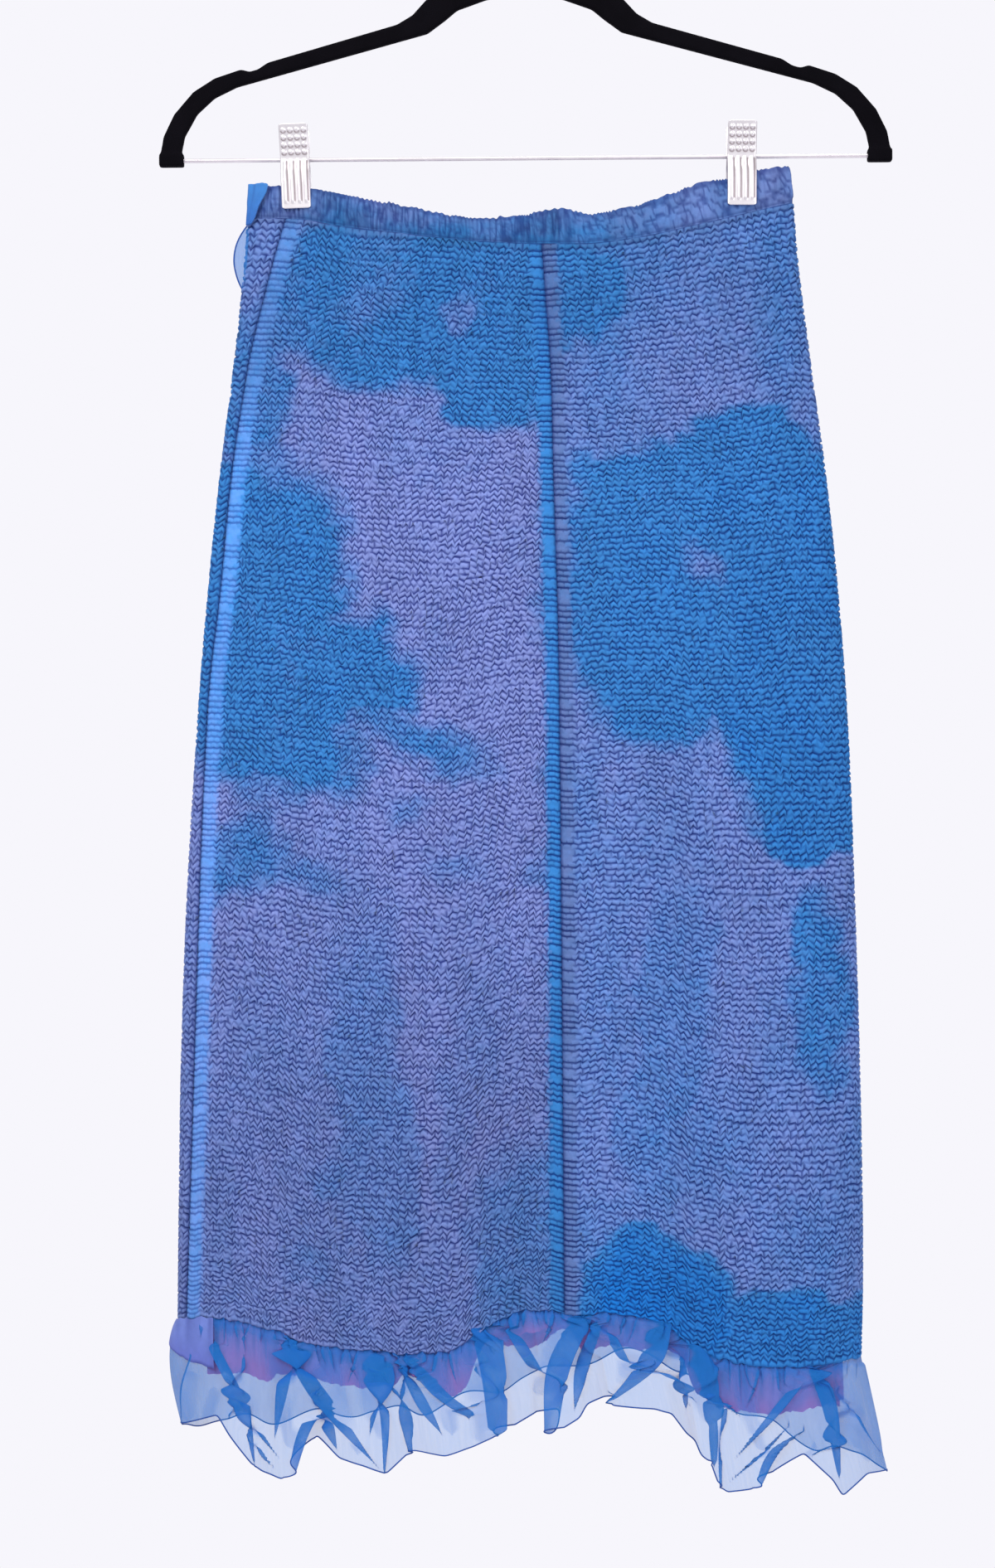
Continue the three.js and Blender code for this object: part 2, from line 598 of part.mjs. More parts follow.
function sideTab() {
  const layer = (outward) => [0, 0.25, 0.5, 0.75, 1].map((down) => {
    const z = THREE.MathUtils.lerp(WAIST[0].top, TAB_TIP_Z, down);
    const ring = section(z);
    const width = THREE.MathUtils.lerp(TAB_TOP_WIDTH, TAB_TIP_WIDTH, down);
    const fold = ring.middle - ring.half;
    const [start, end] = [TAB_FROM_FOLD, width].map((across) => angleAt(ring, fold + across, false));
    return spread(ring, start, end, TAB_COLUMNS).map((angle) => {
      const p = onSection(ring, angle, outward);
      return new THREE.Vector3(p.x, p.y, z);
    });
  });
  const geometry = wall(layer(TAB_OFFSET + TAB_THICKNESS), layer(TAB_OFFSET));
  return named('side_tab', geometry, clothMaterial(EDGE_BLUE));
}

// Side loop: a narrow sheer strip bowed out from the left fold, seen edge on from the front

function sideLoop() {
  const clearOfFold = CRINKLE + SEAM_GAP;
  const outline = (extra) => {
    const points = [];
    for (let k = 0; k <= LOOP_STEPS; k++) {
      const share = k / LOOP_STEPS;
      const z = THREE.MathUtils.lerp(LOOP_TOP, LOOP_BOTTOM, share);
      const bow = LOOP_BOW * Math.sin(Math.PI * share) ** 0.8;
      points.push(new THREE.Vector2(along(OUTLINE, 'z', 'left', z) - clearOfFold - bow - extra, z));
    }
    return points;
  };
  const shape = new THREE.Shape([...outline(0), ...outline(1).reverse()]);
  const geometry = new THREE.ExtrudeGeometry(shape, { depth: LOOP_WIDTH, bevelEnabled: false });
  geometry.rotateX(Math.PI / 2).translate(0, LOOP_WIDTH / 2, 0);
  return named('side_loop', geometry, clothMaterial(SHEER_BLUE, 0.7));
}

// Solids that are joined or cut

function solid(geometry) {
  const bare = geometry.clone();
  bare.deleteAttribute('normal');
  bare.deleteAttribute('uv');
  const merged = mergeVertices(bare, 1e-4);
  const vertProperties = new Float32Array(merged.attributes.position.array);
  const triVerts = new Uint32Array(merged.index.array);
  return new wasm.Manifold(new wasm.Mesh({ numProp: 3, vertProperties, triVerts }));
}

function fromSolid(body) {
  const mesh = body.getMesh();
  const geometry = new THREE.BufferGeometry();
  geometry.setAttribute('position', new THREE.Float32BufferAttribute(mesh.vertProperties, 3));
  geometry.setIndex(new THREE.Uint32BufferAttribute(mesh.triVerts, 1));
  geometry.computeVertexNormals();
  return geometry;
}

// Hanger body: the flocked arms, its two feet bored for the bar, and its neck bored for the hook

function hangerBody() {
  const mirror = (points) => points.map((p) => ({ x: -p.x, z: p.z }));
  const half = (points) => [...points, ...mirror(points).reverse()];
  const inner = half(ARM_INNER).filter((p, k, all) => k === 0 || p.x !== all[k - 1].x);
  const outline = [...half(ARM_OUTER), ...inner.reverse()].map((p) => new THREE.Vector2(p.x, p.z));
  const arms = new THREE.ExtrudeGeometry(new THREE.Shape(outline), {
    depth: HANGER_THICKNESS - 2 * HANGER_BEVEL,
    bevelThickness: HANGER_BEVEL,
    bevelSize: HANGER_BEVEL,
    bevelOffset: -HANGER_BEVEL,
    bevelSegments: 1,
  });
  arms.rotateX(Math.PI / 2).translate(0, HANGER_THICKNESS / 2 - HANGER_BEVEL, 0);
  let body = solid(arms);
  for (const side of [-1, 1]) {
    const middle = side * (HANGER_HALF_WIDTH - FOOT_WIDTH / 2);
    const foot = new THREE.BoxGeometry(FOOT_WIDTH, FOOT_DEPTH, FOOT_HEIGHT).translate(middle, 0, 0);
    const bore = new THREE.CylinderGeometry(BAR_BORE_RADIUS, BAR_BORE_RADIUS, 2 * BAR_BORE_DEPTH, 16);
    bore.rotateZ(Math.PI / 2).translate(side * (HANGER_HALF_WIDTH - FOOT_WIDTH), 0, 0);
    body = body.add(solid(foot)).subtract(solid(bore));
  }
  const hookBore = new THREE.CylinderGeometry(HOOK_BORE_RADIUS, HOOK_BORE_RADIUS, 2 * HOOK_BORE_DEPTH, 16);
  hookBore.rotateX(Math.PI / 2).translate(0, 0, NECK_ABOVE_ROD);
  body = body.subtract(solid(hookBore));
  const material = new THREE.MeshStandardMaterial({ color: BLACK_FLOCK, roughness: 0.95, metalness: 0 });
  const mesh = named('hanger_body', fromSolid(body), material);
  mesh.position.z = -ROD_BELOW_HOOK;
  return mesh;
}

function chromeMaterial() {
  return new THREE.MeshStandardMaterial({ color: CHROME, roughness: 0.15, metalness: 1 });
}

function hangerBar() {
  const reach = HANGER_HALF_WIDTH - FOOT_WIDTH + BAR_BORE_DEPTH - BAR_END_GAP;
  const bar = new THREE.CylinderGeometry(BAR_RADIUS, BAR_RADIUS, 2 * reach, 16).rotateZ(Math.PI / 2);
  const mesh = named('hanger_bar', bar, chromeMaterial());
  mesh.position.z = -ROD_BELOW_HOOK;
  return mesh;
}

// Hook: a straight shank, a bend to the right, and the round over the top to the tip on the left
function hangerHook() {
  const radius = HOOK_INSIDE_RADIUS + HOOK_WIRE_RADIUS;
  const base = NECK_ABOVE_ROD - ROD_BELOW_HOOK - HOOK_BORE_DEPTH + BAR_END_GAP;
  const straightTop = base + HOOK_SHANK;
  const points = [new THREE.Vector3(0, 0, base), new THREE.Vector3(0, 0, (base + straightTop) / 2),
    new THREE.Vector3(0, 0, straightTop)];
  const join = THREE.MathUtils.degToRad(HOOK_JOIN_ANGLE);
  const tip = THREE.MathUtils.degToRad(HOOK_TIP_ANGLE);
  const joinX = radius * Math.cos(join);
  const joinZ = radius * Math.sin(join) - HOOK_INSIDE_RADIUS;
  for (const { across, up } of HOOK_BEND) {
    points.push(new THREE.Vector3(joinX * across, 0, THREE.MathUtils.lerp(straightTop, joinZ, up)));
  }
  const roundSteps = 14;
  for (let k = 0; k <= roundSteps; k++) {
    const angle = THREE.MathUtils.lerp(join, tip, k / roundSteps);
    points.push(new THREE.Vector3(radius * Math.cos(angle), 0, radius * Math.sin(angle) - HOOK_INSIDE_RADIUS));
  }
  const path = new THREE.CatmullRomCurve3(points, false, 'centripetal');
  const wire = new THREE.Shape().absarc(0, 0, HOOK_WIRE_RADIUS, 0, 2 * Math.PI);
  const geometry = new THREE.ExtrudeGeometry(wire, { steps: 34, extrudePath: path, curveSegments: 5 });
  return named('hanger_hook', geometry, chromeMaterial());
}

// Clips

// A plate that follows the leaf's bend, between two heights and two distances from its inner face
function bentPlate(top, bottom, near, far, width, x = 0) {
  const bend = (z) => {
    const below = LEAF_BEND.findIndex((row) => row.z <= z);
    const [p, q] = [LEAF_BEND[Math.max(below - 1, 0)], LEAF_BEND[Math.max(below, 1)]];
    return THREE.MathUtils.lerp(p.y, q.y, (p.z - z) / (p.z - q.z));
  };
  const heights = [top, ...LEAF_BEND.map((row) => row.z).filter((z) => z < top && z > bottom), bottom];
  const face = (offset) => heights.map((z) => new THREE.Vector2(bend(z) + offset, z));
  const shape = new THREE.Shape([...face(near), ...face(far).reverse()]);
  const geometry = new THREE.ExtrudeGeometry(shape, { depth: width, bevelEnabled: false });
  geometry.applyMatrix4(new THREE.Matrix4().makeBasis(
    new THREE.Vector3(0, -1, 0), new THREE.Vector3(0, 0, 1), new THREE.Vector3(-1, 0, 0)));
  return geometry.translate(x + width / 2, 0, 0);
}

function clipLeaf() {
  let body = solid(bentPlate(CLIP_TOP, CLIP_BOTTOM, 0, LEAF_THICKNESS, CLIP_WIDTH));
  const pitch = CLIP_WIDTH / RIB_COUNT;
  const skin = LEAF_THICKNESS / 2;
  for (let k = 0; k < RIB_COUNT; k++) {
    const x = (k + 0.5) * pitch - CLIP_WIDTH / 2;
    const rib = bentPlate(RIB_TOP, CLIP_BOTTOM + 1.4, skin, LEAF_THICKNESS + RIB_PROUD, RIB_WIDTH, x);
    body = body.add(solid(rib));
    for (let row = 0; row < BUMP_ROWS; row++) {
      const middle = CLIP_TOP - 3 - row * pitch;
      const bump = bentPlate(middle + BUMP_SIZE / 2, middle - BUMP_SIZE / 2, skin,
        LEAF_THICKNESS + BUMP_PROUD, BUMP_SIZE, x);
      body = body.add(solid(bump));
    }
  }
  return fromSolid(body);
}

function clip(side, x) {
  const group = new THREE.Group();
  const front = named(`clip_${side}_front_leaf`, clipLeaf(), chromeMaterial());
  const back = named(`clip_${side}_back_leaf`, clipLeaf(), chromeMaterial());
  back.rotation.z = Math.PI;
  const profile = [
    [SPRING_INNER, -SPRING_LENGTH / 2], [SPRING_OUTER, -SPRING_LENGTH / 2],
    [SPRING_OUTER, SPRING_LENGTH / 2], [SPRING_INNER, SPRING_LENGTH / 2], [SPRING_INNER, -SPRING_LENGTH / 2],
  ].map(([radius, height]) => new THREE.Vector2(radius, height));
  const coil = new THREE.LatheGeometry(profile, 20).rotateZ(Math.PI / 2);
  group.add(front, back, named(`clip_${side}_spring`, coil, chromeMaterial()));
  group.position.set(x, 0, -ROD_BELOW_HOOK);
  return group;
}

// The hanger hangs a little low on its left, and the cloth hangs plumb below it

const hanger = new THREE.Group();
hanger.rotation.y = -HANGER_TILT;
hanger.add(hangerBody(), hangerBar(), hangerHook());
const swing = ROD_BELOW_HOOK * Math.sin(HANGER_TILT);
['left', 'right'].forEach((side, k) => hanger.add(clip(side, CLIP_X[k] + SKIRT_X - swing)));

const skirt = new THREE.Group();
skirt.position.x = SKIRT_X;
skirt.add(...panels, ...casings, ...underlayers, ...ruffles, sideTab(), sideLoop());

const skirtOnHanger = new THREE.Group();
skirtOnHanger.add(skirt, hanger);

export default skirtOnHanger;
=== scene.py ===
# A crinkled midi skirt with a sheer hem ruffle, hanging flat from a slim flocked hanger with two clips.
# Shapes are worked out in millimetres, in the frame's own axes, and become metres when a mesh is made.

import json
import math

import bmesh
import bpy
import numpy as np
from mathutils import Matrix, Vector

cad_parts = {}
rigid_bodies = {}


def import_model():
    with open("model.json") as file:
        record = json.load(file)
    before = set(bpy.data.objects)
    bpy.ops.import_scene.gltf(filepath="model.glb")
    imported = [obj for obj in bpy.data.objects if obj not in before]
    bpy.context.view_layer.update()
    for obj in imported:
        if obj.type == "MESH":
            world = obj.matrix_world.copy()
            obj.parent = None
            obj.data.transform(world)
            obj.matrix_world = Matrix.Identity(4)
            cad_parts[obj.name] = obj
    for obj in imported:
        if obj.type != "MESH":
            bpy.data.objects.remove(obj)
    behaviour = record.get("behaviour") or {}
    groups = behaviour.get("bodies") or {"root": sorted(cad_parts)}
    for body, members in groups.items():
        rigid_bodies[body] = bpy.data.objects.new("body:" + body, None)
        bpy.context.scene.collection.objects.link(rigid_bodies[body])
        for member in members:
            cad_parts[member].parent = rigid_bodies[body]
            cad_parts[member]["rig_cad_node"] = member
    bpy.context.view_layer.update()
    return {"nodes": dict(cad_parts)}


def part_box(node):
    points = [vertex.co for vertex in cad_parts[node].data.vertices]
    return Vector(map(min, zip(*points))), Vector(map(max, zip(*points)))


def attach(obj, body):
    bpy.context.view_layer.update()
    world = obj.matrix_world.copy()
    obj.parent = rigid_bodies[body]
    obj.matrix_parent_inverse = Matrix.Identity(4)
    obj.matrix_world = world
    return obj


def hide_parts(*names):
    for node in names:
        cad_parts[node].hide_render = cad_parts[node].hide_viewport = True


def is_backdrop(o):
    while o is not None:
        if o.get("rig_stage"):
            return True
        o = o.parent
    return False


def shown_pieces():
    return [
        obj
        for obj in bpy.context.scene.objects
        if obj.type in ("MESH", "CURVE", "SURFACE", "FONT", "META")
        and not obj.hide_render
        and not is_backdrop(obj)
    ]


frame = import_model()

MM = 0.001
BODY = "root"


def named_rows(columns, rows):
    """Rows with named columns, from tuples in the order of the names."""
    return [dict(zip(columns, row)) for row in rows]


# Driving sizes that the solids have too

SKIRT_X = 1.6
ROD_BELOW_HOOK = 200.0
HANGER_TILT = math.radians(0.44)
MEAN_WAIST_Z = -245.0
MEAN_RELEASE_Z = -912.0
CASING_RISE = 17.0
FLUTES = 7
FLUTE_DEPTH = 2.6
FLUTE_FROM_Z = -280.0

OUTLINE = {
    "z": [-205, -236, -280, -345, -405, -480, -556, -657, -757, -858, -935],
    "left": [-166.5, -168, -171, -178, -185.5, -193, -199, -205, -208.5, -210, -210.6],
    "right": [155.5, 161, 165, 173.5, 182, 190, 195.5, 199.5, 202.5, 204, 202.5],
    "depth": [7, 8.4, 11.5, 15, 18, 21, 24, 27, 30, 32.5, 34],
}
SEAMS = {
    "z": [-236, -280, -325, -390, -477, -536, -720, -935],
    "left": [-143, -155, -166, -177, -185.5, -192, -199.5, -206],
    "centre": [9, 12, 15, 16.5, 19, 20, 21.5, 23],
    "right": [150, 153, 157, 167, 176, 180, 187, 190],
    "back": [-10, -9, -8, -8, -9, -10, -12, -12],
}
WAIST = {
    "x": [-168, -134, -112, -80, -36, 0, 20, 43, 76, 104, 121, 161],
    "top": [-217, -219, -223, -229, -237, -236, -232, -235, -227.6, -218, -213.6, -205],
    "seam": [-236, -238, -242, -246, -251, -252.8, -253, -252.4, -247.5, -241, -237, -227],
}
RELEASE = {
    "x": [-211, -186, -150, -131, -101, -66, -44, -27, -12, 3, 33, 53, 77, 92, 102, 122, 151, 181, 203],
    "front": [-903, -900, -906, -913, -916, -918, -916, -905, -896, -892, -895, -894, -899, -909, -918,
              -924, -929, -928, -926],
    "back": [-903, -906, -914, -912, -904, -902, -908, -912, -914, -912, -904, -900, -902, -908, -914,
             -919, -920, -924, -926],
}
UNDERLAYER = {
    "x": [-190, -172, -152, -145, -134, -105, -80, -73, -52, -36, -26, -10, 4, 34, 48, 76, 92, 103, 140,
          168, 192],
    "drop": [34, 31, 30, 15, 19, 22, 20, 12, 25, 27, 9, 15, 13, 8, 18, 17, 10, 26, 28, 26, 22],
}
RUFFLE_FRONT = {
    "x": [-209, -185, -177, -164, -158, -145, -135, -125, -111, -97, -83, -68, -48, -31, -18, -8, 3, 11,
          13, 31, 36, 49, 50, 76, 86, 95, 101, 103, 109, 114, 119, 134, 148, 166, 183, 189, 205, 219],
    "z": [-966, -957, -968, -984, -989, -992, -981, -967, -979, -982, -987, -975, -976, -971, -964, -960,
          -953, -949, -963, -953, -946, -942, -946, -948, -951, -964, -970, -976, -980, -994, -998, -997,
          -987, -979, -994, -1004, -993, -994],
    "out": [1.5, 8, 13, 10, 6, 12, 16, 3, 9, 14, 12, 3, 13, 9, 12, 4, 5, 3, 15, 15, 8, 3, 12, 15, 14, 8,
            3, 11, 14, 15, 14, 12, 8, 3, 12, 14, 10, 1.5],
}
RUFFLE_BACK = {
    "x": [-209, -165, -120, -60, -10, 45, 78, 112, 140, 172, 219],
    "z": [-966, -970, -968, -965, -950, -935, -932, -955, -969, -983, -994],
}
RUFFLE_BACK_WAVES = 13
RUFFLE_BACK_OUT = (3.0, 13.0)

# Folds of the front ruffle that lie flat on it: top, middle and tip, and how wide each is there
FOLD_COLUMNS = ("x", "z", "wide")
RUFFLE_FOLDS = named_rows(FOLD_COLUMNS, [
    ((-187, -169, -162), (-918, -952, -984), (10, 8, 1)),
    ((-169, -158, -146), (-950, -968, -981), (3, 4, 0)),
    ((-162, -157, -149), (-971, -980, -987), (1, 3, 0)),
    ((-169, -169, -168), (-925, -944, -956), (3, 4, 0)),
    ((-142, -146, -150), (-920, -944, -970), (9, 7, 0)),
    ((-142, -122, -86), (-914, -945, -985), (10, 11, 0)),
    ((-134, -121, -112), (-942, -957, -975), (2, 8, 0)),
    ((-117, -130, -140), (-950, -960, -992), (2, 7, 4)),
    ((-87, -90, -93), (-925, -949, -966), (6, 4, 0)),
    ((-90, -84, -84), (-920, -954, -987), (7, 5, 1)),
    ((-77, -72, -68), (-922, -949, -973), (4, 3, 1)),
    ((-73, -60, -49), (-927, -950, -965), (5, 6, 0)),
    ((-73, -51, -34), (-918, -941, -953), (6, 8, 8)),
    ((-24, -19, -17), (-905, -932, -962), (14, 12, 9)),
    ((-8, 3, 13), (-905, -923, -937), (6, 6, 2)),
    ((34, 19, 14), (-895, -925, -963), (10, 11, 6)),
    ((43, 33, 28), (-902, -927, -950), (8, 7, 0)),
    ((50, 56, 65), (-904, -917, -928), (4, 5, 0)),
    ((80, 72, 47), (-900, -923, -946), (12, 12, 2)),
    ((74, 87, 102), (-924, -932, -947), (3, 6, 0)),
    ((100, 109, 112), (-915, -936, -958), (12, 10, 2)),
    ((113, 120, 128), (-943, -949, -956), (3, 4, 0)),
    ((111, 111, 111), (-940, -964, -981), (2, 5, 3)),
    ((175, 153, 123), (-923, -950, -980), (7, 7, 0)),
    ((157, 138, 119), (-963, -979, -993), (1, 4, 0)),
    ((166, 148, 137), (-966, -977, -997), (1, 6, 3)),
    ((172, 182, 187), (-925, -955, -992), (16, 14, 3)),
    ((193, 203, 214), (-945, -966, -983), (2, 5, 1)),
    ((-202, -208, -208), (-924, -944, -966), (3, 5, 3)),
    ((-171, -176, -178), (-942, -952, -959), (5, 4, 0)),
    ((-83, -72, -68), (-930, -955, -983), (3, 3, 2)),
    ((-33, -27, -35), (-927, -941, -952), (6, 5, 2)),
    ((87, 93, 95), (-913, -930, -949), (8, 5, 2)),
    ((118, 115, 115), (-952, -980, -999), (3, 2, 1)),
    ((207, 214, 216), (-932, -960, -985), (6, 5, 2)),
    ((196, 185, 171), (-955, -971, -980), (4, 5, 1)),
])

# Broad soft overlaps of the same ruffle, where it lies double
RUFFLE_VEILS = named_rows(FOLD_COLUMNS, [
    ((-203, -204, -204), (-936, -949, -962), (13, 14, 8)),
    ((-174, -167, -164), (-938, -952, -964), (14, 12, 5)),
    ((-187, -190, -192), (-945, -955, -962), (9, 9, 6)),
    ((-152, -146, -141), (-912, -940, -972), (14, 12, 5)),
    ((-118, -112, -100), (-918, -945, -974), (12, 13, 5)),
    ((-96, -92, -84), (-920, -945, -968), (14, 14, 6)),
    ((-58, -50, -44), (-920, -942, -962), (14, 14, 8)),
    ((-33, -26, -24), (-910, -940, -968), (16, 18, 14)),
    ((24, 15, 6), (-898, -918, -940), (14, 12, 5)),
    ((66, 62, 56), (-900, -920, -938), (16, 14, 5)),
    ((96, 102, 110), (-910, -935, -958), (16, 16, 8)),
    ((128, 132, 140), (-925, -950, -975), (12, 12, 5)),
    ((172, 157, 144), (-976, -990, -1000), (3, 11, 9)),
    ((178, 190, 203), (-925, -952, -978), (20, 22, 14)),
    ((196, 200, 206), (-935, -960, -985), (10, 12, 8)),
])

# Dye: blue patches on lilac, by centre, half size, turn in degrees and strength; below 0 gives lilac back
DYE_COLUMNS = ("at", "size", "turn", "blue")
FRONT_DYE = named_rows(DYE_COLUMNS, [
    ((-62, -288), (126, 50), 0, 1.0),
    ((-14, -326), (46, 42), 0, 1.0),
    ((-172, -345), (32, 46), 8, 0.9),
    ((-158, -262), (12, 36), 0, -0.8),
    ((-44, -302), (9, 13), 20, -0.45),
    ((-96, -292), (8, 9), 0, -0.25),
    ((-158, -488), (58, 104), 6, 1.1),
    ((-105, -508), (38, 38), 16, 1.1),
    ((-72, -550), (56, 15), -22, 0.8),
    ((-148, -562), (52, 28), -4, 1.1),
    ((-172, -625), (26, 26), 0, 0.8),
    ((-132, -640), (22, 10), -8, 0.65),
    ((-76, -600), (9, 8), 0, 0.6),
    ((-44, -633), (16, 6), 0, 0.45),
    ((8, -631), (14, 9), 0, 0.5),
    ((-92, -770), (24, 110), 4, 0.46),
    ((-40, -800), (12, 60), -6, 0.28),
    ((-101, -777), (12, 9), 0, 0.55),
    ((-116, -813), (11, 13), 0, 0.55),
    ((-132, -861), (14, 11), 0, 0.52),
    ((-82, -850), (18, 11), 0, 0.5),
    ((0, -860), (26, 70), 0, 0.62),
    ((48, -304), (18, 20), 0, 0.47),
    ((150, -285), (10, 44), 0, 0.6),
    ((78, -462), (66, 96), 0, 1.1),
    ((132, -402), (46, 50), 0, 1.25),
    ((165, -490), (50, 124), 0, 1.3),
    ((172, -590), (36, 40), -30, 1.3),
    ((112, -450), (13, 11), 0, -0.6),
    ((36, -600), (18, 60), 0, 0.5),
    ((84, -740), (28, 125), -3, 0.6),
    ((182, -712), (20, 64), 0, 0.9),
    ((76, -890), (48, 42), 0, 1.9),
    ((150, -910), (62, 34), 0, 1.5),
])
BACK_DYE = named_rows(DYE_COLUMNS, [
    ((-124, -318), (70, 56), 8, 1.0),
    ((-66, -372), (48, 32), -22, 0.9),
    ((92, -288), (92, 38), -6, 0.9),
    ((150, -346), (38, 54), 0, 0.9),
    ((-176, -498), (44, 104), 4, 0.95),
    ((-118, -560), (64, 34), -24, 0.9),
    ((136, -508), (74, 76), 14, 1.1),
    ((66, -572), (64, 26), -16, 0.8),
    ((-24, -640), (38, 18), 10, 0.5),
    ((-106, -736), (84, 36), -14, 0.9),
    ((-172, -804), (38, 64), 0, 0.6),
    ((58, -744), (22, 100), 6, 0.4),
    ((172, -744), (32, 84), -4, 0.9),
    ((-52, -894), (92, 34), 4, 1.1),
    ((112, -884), (78, 40), 8, 1.0),
])
DYE_WANDER = 11.0
DYE_RIPPLE = 5.0
DYE_FRAY = 2.4
DYE_SOFTNESS = (3.0, 15.0)
PATCH_SQUARENESS = 2.6

# Gores: the seams each lies between, its cells, how even they are, and its gathered seam strips
GORES = [
    {"name": "front_left_gore", "slot": "crinkle_lilac", "from": ("left", 0), "to": ("centre", 0),
     "cell": (4.15, 3.3), "zigzag": 1.12, "side_crease": 0.55, "strips": (10.5, 8.0), "puckers": (0.62, 1.0),
     "ground": 0.0, "seed": 11},
    {"name": "front_right_gore", "slot": "crinkle_blue", "from": ("centre", 0), "to": ("right", 1),
     "cell": (4.5, 3.4), "zigzag": 0.9, "side_crease": 0.5, "strips": (8.0, 7.0), "puckers": (1.0, 0.8),
     "ground": 0.3, "seed": 12},
    {"name": "back_right_gore", "slot": "crinkle_lilac", "from": ("right", 1), "to": ("back", 1),
     "cell": (4.9, 3.7), "zigzag": 1.0, "side_crease": 0.5, "strips": (7.0, 8.0), "puckers": (0.8, 0.8),
     "ground": 0.15, "seed": 13},
    {"name": "back_left_gore", "slot": "crinkle_blue", "from": ("back", 1), "to": ("left", 2),
     "cell": (4.8, 3.6), "zigzag": 1.15, "side_crease": 0.5, "strips": (8.0, 0.0), "puckers": (0.8, 0.8),
     "ground": 0.1, "seed": 14},
]
CELL_TOP = 0.6
CREASE_DEPTH = 1.4
SEAM_DIP = 1.3
CELL_INSET = 0.56
CELL_SIDE_INSET = 0.4


# Numbers

def lerp(a, b, t):
    return a + (b - a) * t


def half_way(a, b):
    return (a + b) / 2


def bell(x, width):
    """1 at 0, and close to 0 from twice the width."""
    return np.exp(-((x / width) ** 2))


def stacked(*columns):
    """Points, or other rows, from their columns."""
    return np.stack(np.broadcast_arrays(*columns), axis=-1)


def smoothstep(low, high, x):
    t = np.clip((x - low) / (high - low), 0, 1)
    return t * t * (3 - 2 * t)


def along(table, key, name, at):
    """Reads a named column of a table between its rows, on a smooth curve."""
    xs, ys = np.array(table[key], float), np.array(table[name], float)
    if xs[1] < xs[0]:
        xs, ys = xs[::-1], ys[::-1]
    at = np.asarray(at, float)
    k = np.clip(np.searchsorted(xs, at, side="right") - 1, 0, len(xs) - 2)
    before, after = np.maximum(k - 1, 0), np.minimum(k + 2, len(xs) - 1)
    span = xs[k + 1] - xs[k]
    t = np.clip((at - xs[k]) / span, 0, 1)
    into = (ys[k + 1] - ys[before]) / (xs[k + 1] - xs[before])
    out_of = (ys[after] - ys[k]) / (xs[after] - xs[k])
    return ((2 * t**3 - 3 * t**2 + 1) * ys[k] + (t**3 - 2 * t**2 + t) * span * into
            + (3 * t**2 - 2 * t**3) * ys[k + 1] + (t**3 - t**2) * span * out_of)


NOISE_SIZE = 256
NOISE = np.random.RandomState(5).rand(NOISE_SIZE, NOISE_SIZE)


def noise(x, y, seed=0):
    """Smooth noise from -1 to 1 with a feature in each unit square."""
    x, y = np.asarray(x, float) + 37.3 * seed, np.asarray(y, float) + 71.9 * seed
    i, j = np.floor(x).astype(int), np.floor(y).astype(int)
    u, v = smoothstep(0, 1, x - i), smoothstep(0, 1, y - j)
    pick = lambda a, b: NOISE[a % NOISE_SIZE, b % NOISE_SIZE]
    top = lerp(pick(i, j), pick(i + 1, j), u)
    bottom = lerp(pick(i, j + 1), pick(i + 1, j + 1), u)
    return 2 * lerp(top, bottom, v) - 1


# The skirt's flattened section: angle 0 is the left fold, a quarter turn the front middle

def section(z):
    left, right = along(OUTLINE, "z", "left", z), along(OUTLINE, "z", "right", z)
    return (left + right) / 2, (right - left) / 2, along(OUTLINE, "z", "depth", z)


def on_section(z, angle, outward=0.0):
    middle, half, depth = section(z)
    normal_x, normal_y = -depth * np.cos(angle), -half * np.sin(angle)
    size = np.hypot(normal_x, normal_y)
    grown = smoothstep(-FLUTE_FROM_Z, -OUTLINE["z"][-1], -z)
    reach = outward + FLUTE_DEPTH * grown * np.sin(FLUTES * angle + 0.6) * np.sin(angle) ** 2
    return (middle - half * np.cos(angle) + normal_x / size * reach,
            -depth * np.sin(angle) + normal_y / size * reach)


def angle_at(z, x, half_turn):
    """Angle of a place across the front, the back, or the front again after a whole turn."""
    middle, half, _ = section(z)
    angle = np.arccos(np.clip(-(x - middle) / half, -1, 1))
    if half_turn == 1:
        return 2 * np.pi - angle
    return angle + half_turn * np.pi


def waist_seam(x):
    return along(WAIST, "x", "seam", x)


def release_line(x, y):
    ragged = 1.3 * noise(x / 3.4, 0, 14) + 0.8 * noise(x / 1.3, 0, 16)
    return np.where(y < 0, along(RELEASE, "x", "front", x), along(RELEASE, "x", "back", x)) + ragged


# Large soft undulations of the whole wall, still at the waist and at the crinkle's end

def undulation(x, y, down):
    side = np.where(y < 0, 0, 9)
    near_waist = smoothstep(0.0, 0.05, down) * (1 - smoothstep(0.08, 0.3, down))
    below = smoothstep(0.02, 0.2, down) * (1 - smoothstep(0.93, 1.0, down))
    gathers = 2.6 * noise(x / 7.5, down * 4 + side, 1) * near_waist
    buckles = 1.1 * noise(x / 38, down * 4 + side, 2) * below
    return (gathers + buckles) * smoothstep(0.0, 6.0, np.abs(y))


# Dye patches

